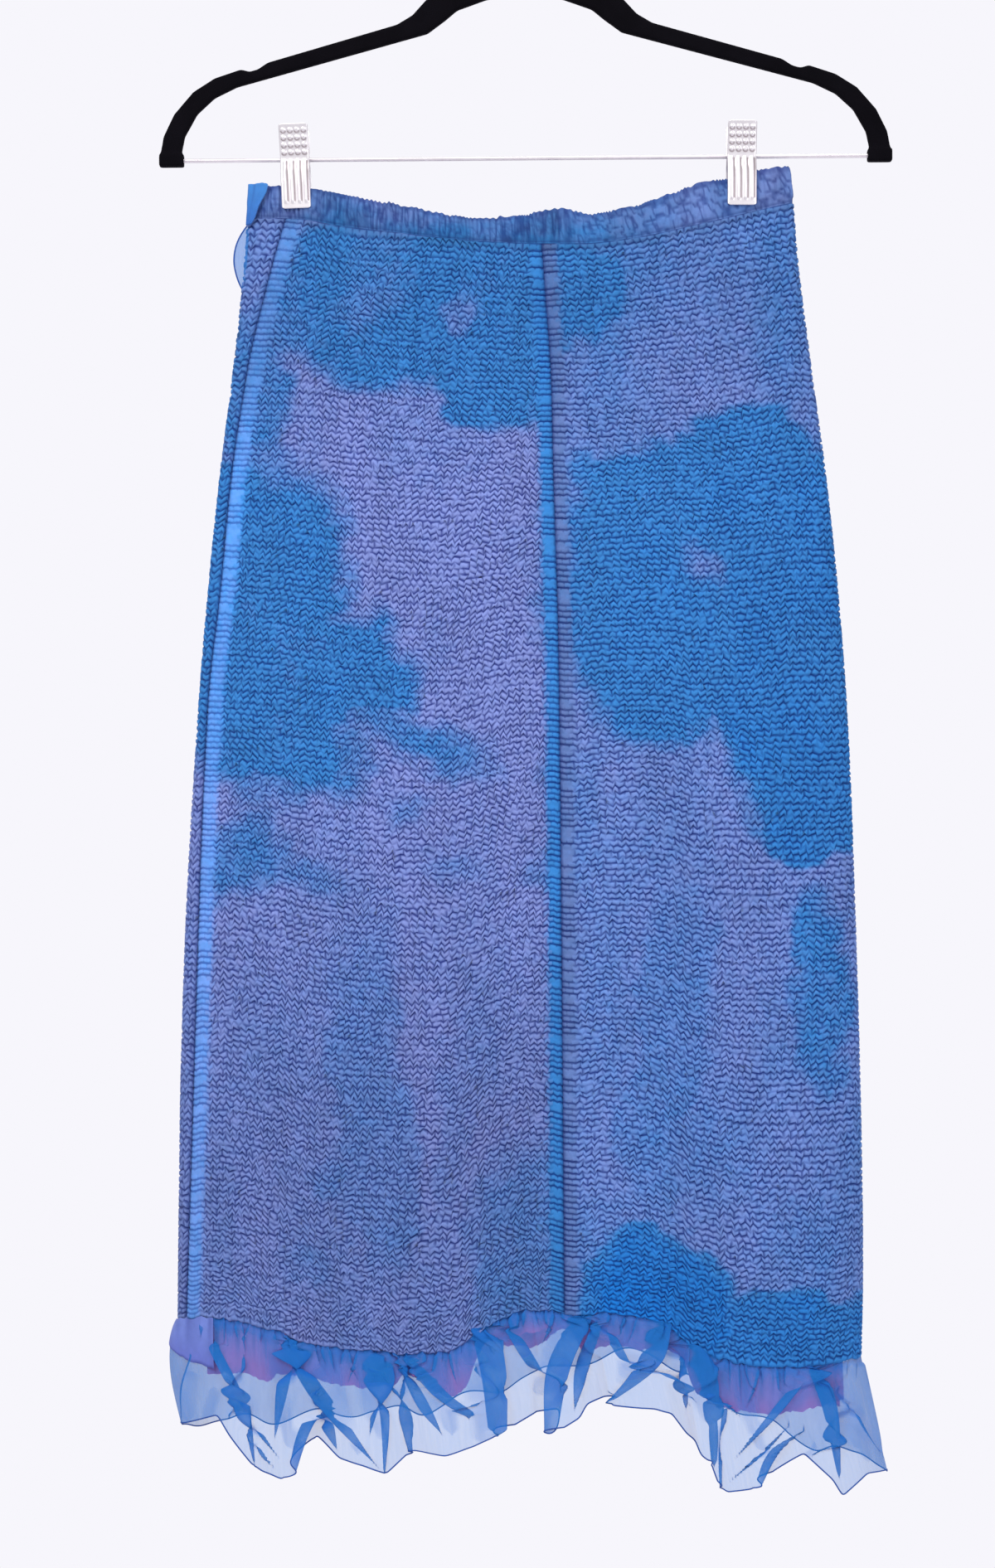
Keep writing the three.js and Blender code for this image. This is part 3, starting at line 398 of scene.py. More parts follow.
def patch_strength(patches, x, z):
    wander = lambda seed: (DYE_WANDER * noise(x / 42, z / 42, seed)
                           + DYE_RIPPLE * noise(x / 13, z / 11, seed + 50)
                           + DYE_FRAY * noise(x / 5, z / 3.5, seed + 60))
    wander_x, wander_z = wander(3), wander(5)
    softness = lerp(*DYE_SOFTNESS, 0.5 + 0.5 * noise(x / 40, z / 40, 13))
    blue = np.zeros(np.shape(x))
    for patch in patches:
        turn = math.radians(patch["turn"])
        dx, dz = x + wander_x - patch["at"][0], z + wander_z - patch["at"][1]
        across = dx * math.cos(turn) + dz * math.sin(turn)
        up = dz * math.cos(turn) - dx * math.sin(turn)
        width, height = patch["size"]
        reach = np.abs(across / width) ** PATCH_SQUARENESS + np.abs(up / height) ** PATCH_SQUARENESS
        reach = reach ** (1 / PATCH_SQUARENESS)
        inside = 1 - smoothstep(-softness, softness, (reach - 1) * min(width, height))
        blue = np.where(patch["blue"] > 0, np.maximum(blue, patch["blue"] * inside),
                        blue * (1 + patch["blue"] * inside))
    return blue


def dye_at(x, y, z):
    return np.where(y < 0, patch_strength(FRONT_DYE, x, z), patch_strength(BACK_DYE, x, z))


def ground_dye(piece, x, z):
    """How blue the lilac ground itself is: more so near the waist, and in broad soft clouds."""
    near_waist = 0.35 * smoothstep(-420, -250, z)
    near_hem = 0.16 * (1 - smoothstep(-760, -600, z))
    return np.clip(piece["ground"] + near_waist + near_hem + 0.18 * noise(x / 26, z / 60, 7), 0, 1)


# Meshes

BAKE_MARGIN = 0.01


def new_piece(name, points, faces, material, attributes=None, flat_map=None):
    """A mesh piece from points in millimetres; flat_map is its pattern, from 0 to 1 each way."""
    points, faces = np.asarray(points, float), np.asarray(faces, int)
    mesh = bpy.data.meshes.new(name)
    sides = faces.shape[1]
    mesh.vertices.add(len(points))
    mesh.vertices.foreach_set("co", (points * MM).astype(np.float32).ravel())
    mesh.loops.add(len(faces) * sides)
    mesh.loops.foreach_set("vertex_index", faces.astype(np.int32).ravel())
    mesh.polygons.add(len(faces))
    mesh.polygons.foreach_set("loop_start", np.arange(0, len(faces) * sides, sides, dtype=np.int32))
    mesh.polygons.foreach_set("use_smooth", np.full(len(faces), True))
    mesh.update(calc_edges=True)
    for key, values in (attributes or {}).items():
        kind, field = ("FLOAT", "value") if np.ndim(values) == 1 else ("FLOAT_VECTOR", "vector")
        layer = mesh.attributes.new(key, kind, "POINT")
        layer.data.foreach_set(field, np.asarray(values, np.float32).ravel())
    if flat_map is not None:
        layer = mesh.uv_layers.new(name="OFBake")
        inside = flat_map * (1 - 2 * BAKE_MARGIN) + BAKE_MARGIN
        layer.uv.foreach_set("vector", np.asarray(inside, np.float32)[faces.ravel()].ravel())
    mesh.validate()
    mesh.materials.append(material)
    return settled(bpy.data.objects.new(name, mesh))


def linked(thing):
    bpy.context.scene.collection.objects.link(thing)
    return thing


def settled(piece):
    linked(piece)
    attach(piece, BODY)
    return piece


def bmesh_object(name, shape, material):
    mesh = bpy.data.meshes.new(name)
    shape.to_mesh(mesh)
    shape.free()
    mesh.materials.append(material)
    return bpy.data.objects.new(name, mesh)


def grid_faces(rows, columns, closed=False):
    """Quads between the points of a grid stored row by row, facing out when columns run to the right."""
    wide = columns if closed else columns - 1
    j, i = np.meshgrid(np.arange(rows - 1), np.arange(wide), indexing="ij")
    here, right = j * columns + i, j * columns + (i + 1) % columns
    return np.stack([here, here + columns, right + columns, right], axis=-1).reshape(-1, 4)


def tube(path, radius, sides=8, closed=False):
    """Points and quads of a round tube along a path; its frame turns as little as it can."""
    path = np.asarray(path, float)
    ahead = np.roll(path, -1, axis=0) if closed else np.concatenate([path[1:], path[-1:]])
    behind = np.roll(path, 1, axis=0) if closed else np.concatenate([path[:1], path[:-1]])
    tangent = ahead - behind
    tangent /= np.linalg.norm(tangent, axis=1, keepdims=True)
    normal = np.cross(tangent[0], [0.0, 1.0, 0.03])
    normals = []
    for t in tangent:
        normal = normal - t * normal.dot(t)
        normal /= np.linalg.norm(normal)
        normals.append(normal)
    normals = np.array(normals)[:, None]
    sideways = np.cross(tangent, normals[:, 0])[:, None]
    turn = (np.arange(sides) * 2 * np.pi / sides)[None, :, None]
    radius = np.broadcast_to(np.asarray(radius, float), len(path))[:, None, None]
    points = (path[:, None] + (normals * np.cos(turn) + sideways * np.sin(turn)) * radius).reshape(-1, 3)
    return points, grid_faces(len(path) + closed, sides, closed=True) % len(points)


# Materials

def linear(red, green, blue):
    """A colour given as 0 to 255 values on a screen."""
    channel = lambda c: c / 12.92 if c <= 0.04045 else ((c + 0.055) / 1.055) ** 2.4
    return (channel(red / 255), channel(green / 255), channel(blue / 255), 1.0)


def new_material(name, **settings):
    material = bpy.data.materials.new(name)
    material.use_nodes = True
    shader = material.node_tree.nodes["Principled BSDF"]
    for key, value in settings.items():
        shader.inputs[key.replace("_", " ")].default_value = value
    return material, material.node_tree, shader


def add(tree, kind, inputs=None, **settings):
    """Adds a node; an input that is a socket is linked, and any other value is set."""
    node = tree.nodes.new(kind)
    for key, value in settings.items():
        setattr(node, key, value)
    for key, value in (inputs or {}).items():
        if isinstance(value, bpy.types.NodeSocket):
            tree.links.new(value, node.inputs[key])
        else:
            node.inputs[key].default_value = value
    return node


def attribute(tree, name, socket="Fac"):
    return add(tree, "ShaderNodeAttribute", attribute_name=name).outputs[socket]


def math_node(tree, operation, a, b=None, c=None, clamp=False):
    inputs = {k: v for k, v in enumerate((a, b, c)) if v is not None}
    return add(tree, "ShaderNodeMath", inputs, operation=operation, use_clamp=clamp).outputs[0]


def mixed(tree, share, first, second):
    """A colour mix; share is 0 for the first and 1 for the second."""
    return add(tree, "ShaderNodeMix", {0: share, 6: first, 7: second}, data_type="RGBA").outputs[2]


def times(tree, vector, factor):
    return add(tree, "ShaderNodeVectorMath", {0: vector, 1: factor}, operation="MULTIPLY").outputs[0]


def noise_node(tree, scale, detail, where, rough=0.55):
    inputs = {"Scale": scale, "Detail": detail, "Roughness": rough, "Vector": where}
    return add(tree, "ShaderNodeTexNoise", inputs).outputs["Fac"]


def placed(tree):
    return add(tree, "ShaderNodeTexCoord").outputs["Object"]


def bump(tree, height, strength, distance):
    inputs = {"Height": height, "Strength": strength, "Distance": distance}
    return add(tree, "ShaderNodeBump", inputs).outputs["Normal"]


def link_all(tree, shader, **sockets):
    """Links sockets to the shader's inputs of those names; an underscore stands for a space."""
    for key, socket in sockets.items():
        tree.links.new(socket, shader.inputs[key.replace("_", " ")])


def weave(tree, flat, threads_per_mm):
    """A plain weave's height from the cloth's own flat coordinates in millimetres."""
    turns = 2 * math.pi * threads_per_mm
    parts = add(tree, "ShaderNodeSeparateXYZ", {0: times(tree, flat, (turns, turns, 1))})
    warp, weft = (math_node(tree, "SINE", parts.outputs[k]) for k in (0, 1))
    return math_node(tree, "MULTIPLY", warp, weft)


# Top and crease colours; the crease colours are the creases' darker dye together with painted shade
LILAC_TOP, LILAC_CREASE = linear(132, 148, 214), linear(12, 30, 124)
BLUE_TOP, BLUE_CREASE = linear(56, 132, 204), linear(0, 44, 126)
DEEP_TOP, DEEP_CREASE = linear(20, 120, 208), linear(0, 46, 130)
SEAM_STITCH_AND_SHADE = linear(16, 40, 110)


def dyed_silk(name, crease_share=1.0):
    """Dyed crinkled silk: blue on lilac by the dye attribute, darker in creases partly by dye and partly as
    painted shade, darker at the seams by their stitch line and painted shade, with a fine crepe weave.
    """
    material, tree, shader = new_material(
        name, Roughness=0.66, Sheen_Weight=0.06, Sheen_Roughness=0.45, Specular_IOR_Level=0.16)
    where = placed(tree)
    blotch = math_node(tree, "MULTIPLY_ADD", noise_node(tree, 140, 3, where), 0.5, -0.25)
    blotched = math_node(tree, "ADD", attribute(tree, "dye"), blotch)
    dye = math_node(tree, "ADD", blotched, 0.0, clamp=True)
    deep = math_node(tree, "SUBTRACT", blotched, 1.1, clamp=True)
    top = mixed(tree, deep, mixed(tree, dye, LILAC_TOP, BLUE_TOP), DEEP_TOP)
    crease_dye_and_shade = mixed(tree, deep, mixed(tree, dye, LILAC_CREASE, BLUE_CREASE), DEEP_CREASE)
    # The crease attribute mixes in the crease colour: partly dye, partly painted shade
    crease = math_node(tree, "POWER", attribute(tree, "crease"), 0.66)
    cloth = mixed(tree, math_node(tree, "MULTIPLY", crease, crease_share), top, crease_dye_and_shade)
    fleck = math_node(tree, "MULTIPLY_ADD", noise_node(tree, 900, 2, where), 0.16, 0.92)
    light = math_node(tree, "MULTIPLY", fleck, attribute(tree, "tone"))
    # Towards the seams the colour goes to a dark blue: the seam's own dark line, and painted shade in the
    # seam valley
    seamed = mixed(tree, attribute(tree, "seam"), times(tree, cloth, light), SEAM_STITCH_AND_SHADE)
    threads = weave(tree, attribute(tree, "flat", "Vector"), 2.2)
    crepe = math_node(tree, "MULTIPLY_ADD", noise_node(tree, 1500, 3, where), 2.0, threads)
    link_all(tree, shader, Base_Color=seamed, Normal=bump(tree, crepe, 0.35, 0.00012))
    return material


def organza():
    """Sheer silk organza: pale where it is single and deep blue where folds pack it."""
    material, tree, shader = new_material(
        "sheer_organza", Roughness=0.5, Sheen_Weight=0.04, Specular_IOR_Level=0.2)
    flat = attribute(tree, "flat", "Vector")
    packed = attribute(tree, "packed")
    streak = noise_node(tree, 1.0, 3.0, times(tree, flat, (0.35, 0.05, 1)), 0.5)
    blue = mixed(tree, streak, linear(14, 126, 214), linear(44, 138, 220))
    threads = weave(tree, flat, 1.6)
    cover = math_node(tree, "MULTIPLY_ADD", packed, 0.42, 0.37)
    cover = math_node(tree, "ADD", cover, math_node(tree, "MULTIPLY_ADD", streak, 0.16, -0.03))
    link_all(tree, shader, Base_Color=mixed(tree, packed, blue, linear(14, 106, 198)),
             Alpha=math_node(tree, "MULTIPLY_ADD", threads, 0.03, cover, clamp=True),
             Normal=bump(tree, math_node(tree, "ADD", threads, streak), 0.3, 0.0002))
    return material


def plain_silk(name, upper, lower, fold):
    """Plain silk: one colour that drifts to another at the free edge, darkened towards a fold colour by the
    crease attribute, with fine wrinkles.
    """
    material, tree, shader = new_material(
        name, Roughness=0.5, Sheen_Weight=0.15, Specular_IOR_Level=0.35)
    where = placed(tree)
    drift = mixed(tree, attribute(tree, "edge"), upper, lower)
    # The crease attribute darkens the colour towards the fold colour: mostly painted shade in folds and
    # wrinkles
    deep = mixed(tree, attribute(tree, "crease"), drift, fold)
    mottle = math_node(tree, "MULTIPLY_ADD", noise_node(tree, 260, 4, where), 0.3, 0.85)
    threads = weave(tree, attribute(tree, "flat", "Vector"), 2.5)
    height = math_node(tree, "MULTIPLY_ADD", noise_node(tree, 420, 4, where), 4.0, threads)
    link_all(tree, shader, Base_Color=times(tree, deep, mottle), Normal=bump(tree, height, 0.45, 0.00025))
    return material


def rolled_edge():
    """The ruffle's and the loop's narrow dark hem."""
    material, tree, shader = new_material("rolled_edge", Roughness=0.6, Specular_IOR_Level=0.3)
    shade = noise_node(tree, 700, 3, placed(tree))
    link_all(tree, shader, Base_Color=mixed(tree, shade, linear(14, 42, 118), linear(44, 100, 188)),
             Normal=bump(tree, shade, 0.6, 0.0002))
    return material


def velvet():
    """Black flock: short dense fibres that catch light at the edges."""
    material, tree, shader = new_material(
        "flocked_velvet", Roughness=0.95, Sheen_Weight=0.12, Sheen_Roughness=0.3, Specular_IOR_Level=0.05,
        Sheen_Tint=linear(150, 140, 160))
    where = placed(tree)
    worn = noise_node(tree, 60, 2, where)
    link_all(tree, shader, Base_Color=mixed(tree, worn, linear(7, 6, 10), linear(16, 14, 20)),
             Normal=bump(tree, noise_node(tree, 2600, 3, where), 0.9, 0.0005))
    return material


def chrome(name, rough, light, metallic):
    """Polished plated steel with faint drawn lines, darkened by painted shade beside its ribs and below its
    bumps.
    """
    material, tree, shader = new_material(name, Metallic=metallic)
    where = placed(tree)
    drawn = noise_node(tree, 1.0, 2, times(tree, where, (3000, 3000, 120)))
    smudge = noise_node(tree, 90, 3, where)
    plated = mixed(tree, smudge, light, linear(250, 246, 249))
    # The groove attribute mixes in a dark brown: painted shade beside the ribs and below the bumps
    link_all(tree, shader, Base_Color=mixed(tree, attribute(tree, "groove"), plated, linear(120, 92, 96)),
             Roughness=math_node(tree, "MULTIPLY_ADD", smudge, 0.14, rough),
             Normal=bump(tree, drawn, 0.04, 0.00003))
    return material


SILK = dyed_silk("crinkled_silk")
GATHERED = dyed_silk("gathered_silk", 0.75)
ORGANZA = organza()
UNDER_SILK = plain_silk("underlayer_silk", linear(166, 150, 232), linear(222, 122, 192), linear(50, 60, 150))
BAND_SILK = plain_silk("panel_end_silk", linear(112, 134, 216), linear(98, 112, 204), linear(44, 60, 150))
TAB_SILK = plain_silk("tab_silk", linear(58, 134, 212), linear(40, 104, 190), linear(24, 66, 150))
ROLLED = rolled_edge()
VELVET = velvet()
WIRE = chrome("bright_wire", 0.3, linear(222, 212, 220), 0.8)
PRESSED = chrome("pressed_clip", 0.3, linear(240, 234, 238), 0.7)


# Crinkled gores: a brick lattice of cells cut to the gore, each a small pillow between creased edges

LOOKUP_ROWS = 120
LOOKUP_COLUMNS = 300
LOOKUP_HALVINGS = 16
SPARE_CELLS = 3
STRIP_BLUR = 1.0
STRIP_STILLNESS = 0.86
JITTER_ACROSS = 0.4
JITTER_DOWN = 0.26
CREASED_STRIP_LINES = 0.8
FAINT_CORNERS = 0.14
FAINT_SIDES = 0.4
END_HEIGHT = -0.35
END_TOLERANCE = 1e-6


class GoreSurface:
    """Where a gore's flat places lie in space: across is millimetres from its middle, down is 0 to 1."""

    def __init__(self, piece):
        self.down = np.linspace(0, 1, LOOKUP_ROWS)
        z = lerp(MEAN_WAIST_Z, MEAN_RELEASE_Z, self.down)
        seam = lambda which, turn: angle_at(z, along(SEAMS, "z", which, z), turn)
        self.start, self.end = seam(*piece["from"]), seam(*piece["to"])
        share = np.linspace(0, 1, LOOKUP_COLUMNS)
        angles = self.start[:, None] + (self.end - self.start)[:, None] * share
        x, y = on_section(z[:, None], angles)
        steps = np.hypot(np.diff(x, axis=1), np.diff(y, axis=1))
        self.travelled = np.concatenate([np.zeros((LOOKUP_ROWS, 1)), np.cumsum(steps, axis=1)], axis=1)
        self.width = self.travelled[:, -1]

    def width_at(self, down):
        return np.interp(down, self.down, self.width)

    def angle(self, across, down):
        want = across + self.width_at(down) / 2
        row = np.clip(down, 0, 1) * (LOOKUP_ROWS - 1)
        j = np.clip(row.astype(int), 0, LOOKUP_ROWS - 2)
        part = row - j
        low, high = np.zeros(np.shape(want)), np.ones(np.shape(want))
        for _ in range(LOOKUP_HALVINGS):
            middle = (low + high) / 2
            column = middle * (LOOKUP_COLUMNS - 1)
            i = np.clip(column.astype(int), 0, LOOKUP_COLUMNS - 2)
            along_row = lambda r: lerp(self.travelled[r, i], self.travelled[r, i + 1], column - i)
            reached = lerp(along_row(j), along_row(j + 1), part)
            low, high = np.where(reached < want, middle, low), np.where(reached < want, high, middle)
        turn = lambda values: lerp(values[j], values[j + 1], part)
        return lerp(turn(self.start), turn(self.end), (low + high) / 2)

    def point(self, across, down, outward):
        """The point in space, in millimetres."""
        ring = lerp(MEAN_WAIST_Z, MEAN_RELEASE_Z, down)
        angle = self.angle(across, down)
        flat_x, flat_y = on_section(ring, angle)
        z = lerp(waist_seam(flat_x), release_line(flat_x, flat_y), down)
        x, y = on_section(ring, angle, outward + undulation(flat_x, flat_y, down))
        return stacked(x, y, z)


class LatticePoints:
    """Points of a gore's lattice, added block by block: across, down, crease and share of a seam strip."""

    def __init__(self):
        self.blocks = []
        self.count = 0

    def add(self, across, down, crease, strip):
        """Adds a block of points and gives back their numbers."""
        numbers = np.arange(self.count, self.count + across.size).reshape(across.shape)
        columns = (across, down, crease, strip)
        self.blocks.append([np.broadcast_to(values, across.shape).ravel() for values in columns])
        self.count += across.size
        return numbers

    def columns(self):
        return [np.concatenate(column) for column in zip(*self.blocks)]


def line_places(cell_high, length):
    """Where the lines between rows of cells lie, from 0 to 1; the lowest rows are lower than the rest."""
    heights = 1 - 0.2 * smoothstep(0.86, 1.0, np.linspace(0, 1, int(length / cell_high)))
    down = np.concatenate([[0], np.cumsum(heights)])
    return down / down[-1]


def strip_share(piece, across, half_width):
    """1 in the gathered strips along the gore's seams and 0 between them."""
    left, right = piece["strips"]
    in_left = 1 - smoothstep(left - STRIP_BLUR, left + STRIP_BLUR, across + half_width)
    in_right = 1 - smoothstep(right - STRIP_BLUR, right + STRIP_BLUR, half_width - across)
    return np.clip(in_left * (left > 0) + in_right * (right > 0), 0, 1)


def gore_corners(piece, surface, length, draw):
    """The cells' corners, on a line between each two rows: their across, down and share of a seam strip."""
    cell_wide, cell_high = piece["cell"]
    seed = piece["seed"]
    places = line_places(cell_high, length)
    half_count = int(surface.width.max() / cell_wide / 2) + SPARE_CELLS
    line, place = np.meshgrid(np.arange(len(places)), np.arange(4 * half_count + 1), indexing="ij")
    end_line = (line == 0) | (line == len(places) - 1)
    across = (place - 2 * half_count) * cell_wide / 2
    across = across + 2.6 * noise(line / 26, place / 30, seed)
    phase = np.tanh(16 * noise(across / 15, line / 5, seed + 4))
    pulled_up = np.where(place % 2 == 1, 1, -1) * phase
    sway = 2.2 * noise(across / 55, line / 22, seed + 1) / length
    down = places[line] + np.where(end_line, 0, sway)
    strip = strip_share(piece, across, surface.width_at(np.clip(down, 0, 1)) / 2)
    liveliness = np.where(end_line, 0.0, 1 - STRIP_STILLNESS * strip)
    zigzag = piece["zigzag"] * (1 + 0.3 * noise(across / 9, line / 3, seed + 2))
    down = down - pulled_up * zigzag * liveliness / length
    down = down + draw.normal(0, JITTER_DOWN, down.shape) * liveliness / length
    lean = 0.9 * noise(across / 16, line / 5, seed + 3)
    across = across + np.sign(pulled_up) * lean * liveliness
    across = across + draw.normal(0, JITTER_ACROSS, across.shape) * liveliness
    return across, down, strip


def corner_creases(piece, across, strip, draw):
    """How deep each corner is creased; in a seam strip a whole line is creased, or none of it."""
    lines = (len(across), 1)
    strip_lines = (draw.rand(*lines) < CREASED_STRIP_LINES) * draw.uniform(0.55, 1.0, lines)
    faint = draw.rand(*across.shape) < FAINT_CORNERS
    crease = np.where(faint, 0.2, draw.uniform(0.6, 1.0, across.shape)) * (1 - strip)
    crease[-1] *= 0.3
    return crease + strip_lines * np.where(across < 0, *piece["puckers"]) * strip


def side_creases(piece, strip, draw):
    """How deep the middle of each edge between two cells of a row is creased."""
    crease = piece["side_crease"] * draw.uniform(0.4, 1.3, strip.shape)
    crease = np.where(draw.rand(*strip.shape) < FAINT_SIDES, 0.03, crease) * (1 - strip)
    return np.clip(crease, 0, 1)


def cell_tops(points, across, down, strip, corners, draw):
    """The six inner points of each cell: drawn in from its corners towards the middle of its own column."""
    strips = sum(strip[c] for c in corners) / 6
    swell = 1 - 0.25 * draw.rand(*strips.shape)
    spine = [(half_way(across[a], across[b]), half_way(down[a], down[b]))
             for a, b in ((corners[0], corners[1]), (corners[5], corners[2]), (corners[4], corners[3]))]
    middle_across, middle_down = spine[1]
    inner = []
    for corner, column in zip(corners, (0, 0, 1, 2, 2, 1)):
        inset = 0 if column == 1 else CELL_SIDE_INSET
        column_across, column_down = spine[column]
        inner_across = lerp(lerp(across[corner], column_across, CELL_INSET), middle_across, inset)
        inner_down = lerp(down[corner], column_down, CELL_INSET) + inset * (middle_down - column_down)
        inner.append(points.add(inner_across, inner_down, -swell, strips))
    return inner


def cell_faces(outer, middles, inner):
    """A cell's triangles: the slopes from its edge to its top, then the top by columns."""
    faces = []
    for k in range(6):
        n = (k + 1) % 6
        if k in middles:
            faces += [(outer[k], middles[k], inner[k]), (middles[k], inner[n], inner[k]),
                      (middles[k], outer[n], inner[n])]
        else:
            faces += [(outer[k], outer[n], inner[n]), (outer[k], inner[n], inner[k])]
    top = ((0, 1, 2), (0, 2, 5), (5, 2, 3), (5, 3, 4))
    return faces + [tuple(inner[k] for k in corners) for corners in top]


def gore_lattice(piece, surface, length, draw):
    """Points and triangles: six corners in turn round each top, and a point half way down each side."""
    across, down, strip = gore_corners(piece, surface, length, draw)
    points = LatticePoints()
    corner_number = points.add(across, down, corner_creases(piece, across, strip, draw), strip)
    side_mid = points.add(half_way(across[:-1], across[1:]), half_way(down[:-1], down[1:]),
                          side_creases(piece, strip, draw)[:-1], half_way(strip[:-1], strip[1:]))
    lines, per_line = across.shape
    faces = []
    for odd in (0, 1):
        j, left = np.meshgrid(np.arange(odd, lines - 1, 2), np.arange(odd, per_line - 2, 2), indexing="ij")
        corners = [(j, left), (j + 1, left), (j + 1, left + 1),
                   (j + 1, left + 2), (j, left + 2), (j, left + 1)]
        outer = [corner_number[c] for c in corners]
        inner = cell_tops(points, across, down, strip, corners, draw)
        faces += cell_faces(outer, {0: side_mid[j, left], 3: side_mid[j, left + 2]}, inner)
    return points.columns(), np.concatenate([stacked(*(part.ravel() for part in face)) for face in faces])


def pillow_height(down, crease, strip, from_seam):
    """How far each point stands out: high on a cell's top, low in the creases and at the seams."""
    height = np.where(crease > 0, CELL_TOP - CREASE_DEPTH * crease, CELL_TOP - 0.3 * (1 + crease))
    height = height * (1 - 0.25 * strip) - SEAM_DIP * bell(from_seam, 1.4)
    return np.where((down < END_TOLERANCE) | (down > 1 - END_TOLERANCE), END_HEIGHT, height)


def crinkled_gore(piece):
    surface = GoreSurface(piece)
    length = waist_seam(0.0) - float(along(RELEASE, "x", "front", 60.0))
    columns, faces = gore_lattice(piece, surface, length, np.random.RandomState(piece["seed"]))
    across, down, crease, strip = columns
    down = np.clip(down, 0, 1)

    # The lattice is cut at the seams: cells wholly beyond one go, and the rest are drawn in to it
    reach = surface.width_at(down) / 2
    side = np.where(across > reach, 1, np.where(across < -reach, -1, 0))
    across = np.clip(across, -reach, reach)
    beyond = side[faces]
    faces = faces[~((beyond == 1).all(axis=1) | (beyond == -1).all(axis=1))]
    from_seam = reach - np.abs(across)
    points = surface.point(across, down, pillow_height(down, crease, strip, from_seam))

    used, numbers = np.unique(faces, return_inverse=True)
    faces = numbers.reshape(faces.shape)
    points, across, down, strip, from_seam = (v[used] for v in (points, across, down, strip, from_seam))
    x, y, z = points.T
    dye = dye_at(x, y, z) * (1 + 0.14 * noise(x / 22, z / 30, 15))
    dye = np.maximum(dye, ground_dye(piece, x, z))
    dye, tone = strip_colours(piece, dye, strip, across, x, z)
    tone = tone * (1 - 0.25 * (1 - smoothstep(0, 0.012, down)))
    # The seam attribute darkens the cloth at the seams: their dark stitch line and painted shade in the seam
    # valley
    looks = {"dye": dye, "crease": np.clip(crease[used], 0, 1), "tone": tone,
             "seam": 0.75 * bell(from_seam, 0.9), "flat": stacked(across, down * length, 0)}
    made = new_piece(piece["name"] + "_cloth", points, faces, SILK, looks,
                     stacked(across / surface.width.max() + 0.5, 1 - down))
    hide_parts(piece["name"])


def strip_colours(piece, dye, strip, across, x, z):
    """The seam strips took dye by themselves: pale at the left, bright blue and greyish beside the middle
    seam; beside that seam the left strip also gets a painted highlight where it bulges and the right strip
    painted shade.
    """
    tone = 1 + 0.05 * noise(x / 16, z / 40, 8) + 0.1 * noise(x / 3, z / 2.4, 9)
    if piece["name"] == "front_left_gore":
        at_left = strip * (across < 0)
        at_centre = strip * (across > 0)
        dye = lerp(dye, 0.75, at_left * 0.8)
        dye = lerp(dye, 1.3, at_centre * 0.9)
        # Beside the middle seam this strip is made 8% lighter: a painted highlight where it bulges over the
        # seam
        tone = tone * (1 + (0.1 + 0.36 * (1 - smoothstep(-420, -300, z))) * at_left + 0.08 * at_centre)
    if piece["name"] == "front_right_gore":
        at_centre = strip * (across < 0)
        dye = lerp(dye, 0.4, at_centre * 0.8)
        # Painted shade: the strip right of the middle seam is darkened, lying in the shade of the seam's
        # ridge
        tone = tone * (1 - 0.27 * at_centre)
    if piece["name"] in ("front_left_gore", "back_left_gore"):
        tone = tone * (1 - 0.15 * (1 - smoothstep(-820, -600, z)))
    return dye, tone * (1 - 0.12 * smoothstep(-420, -260, z))


# Waist casing: one strip folded over the elastic, gathered in fine upright folds

CASING_COLUMNS = 1240
CASING_UP = np.concatenate([[0.0, 0.05], np.linspace(0.12, 0.96, 15)])
CASING_FOLD = [(1.0, 0.25), (1.02, 0.6), (1.0, 0.95)]
CASING_INSIDE = [(up, 1.0) for up in (0.85, 0.6, 0.35, 0.1)]
CASING_THICKNESS = 1.7
CASING_TONES = (0.79, 0.72)
GATHER_PITCH = 3.1


def ridge(x, y, seed, sharpness):
    """Thin lines where smooth noise passes through 0, from 0 to 1."""
    return np.clip(1 - sharpness * np.abs(noise(x, y, seed)), 0, 1)


def casing_round():
    """Places round the casing, evenly apart: millimetres travelled, angle and x, and the whole way round."""
    angle = np.linspace(0, 2 * np.pi, CASING_COLUMNS, endpoint=False)
    x, y = on_section(MEAN_WAIST_Z, angle)
    step = np.hypot(np.diff(x, append=x[:1]), np.diff(y, append=y[:1]))
    travelled = np.concatenate([[0], np.cumsum(step)])
    around = travelled[-1]
    s = np.arange(CASING_COLUMNS) * around / CASING_COLUMNS
    return s, np.interp(s, travelled, np.append(angle, 2 * np.pi)), around


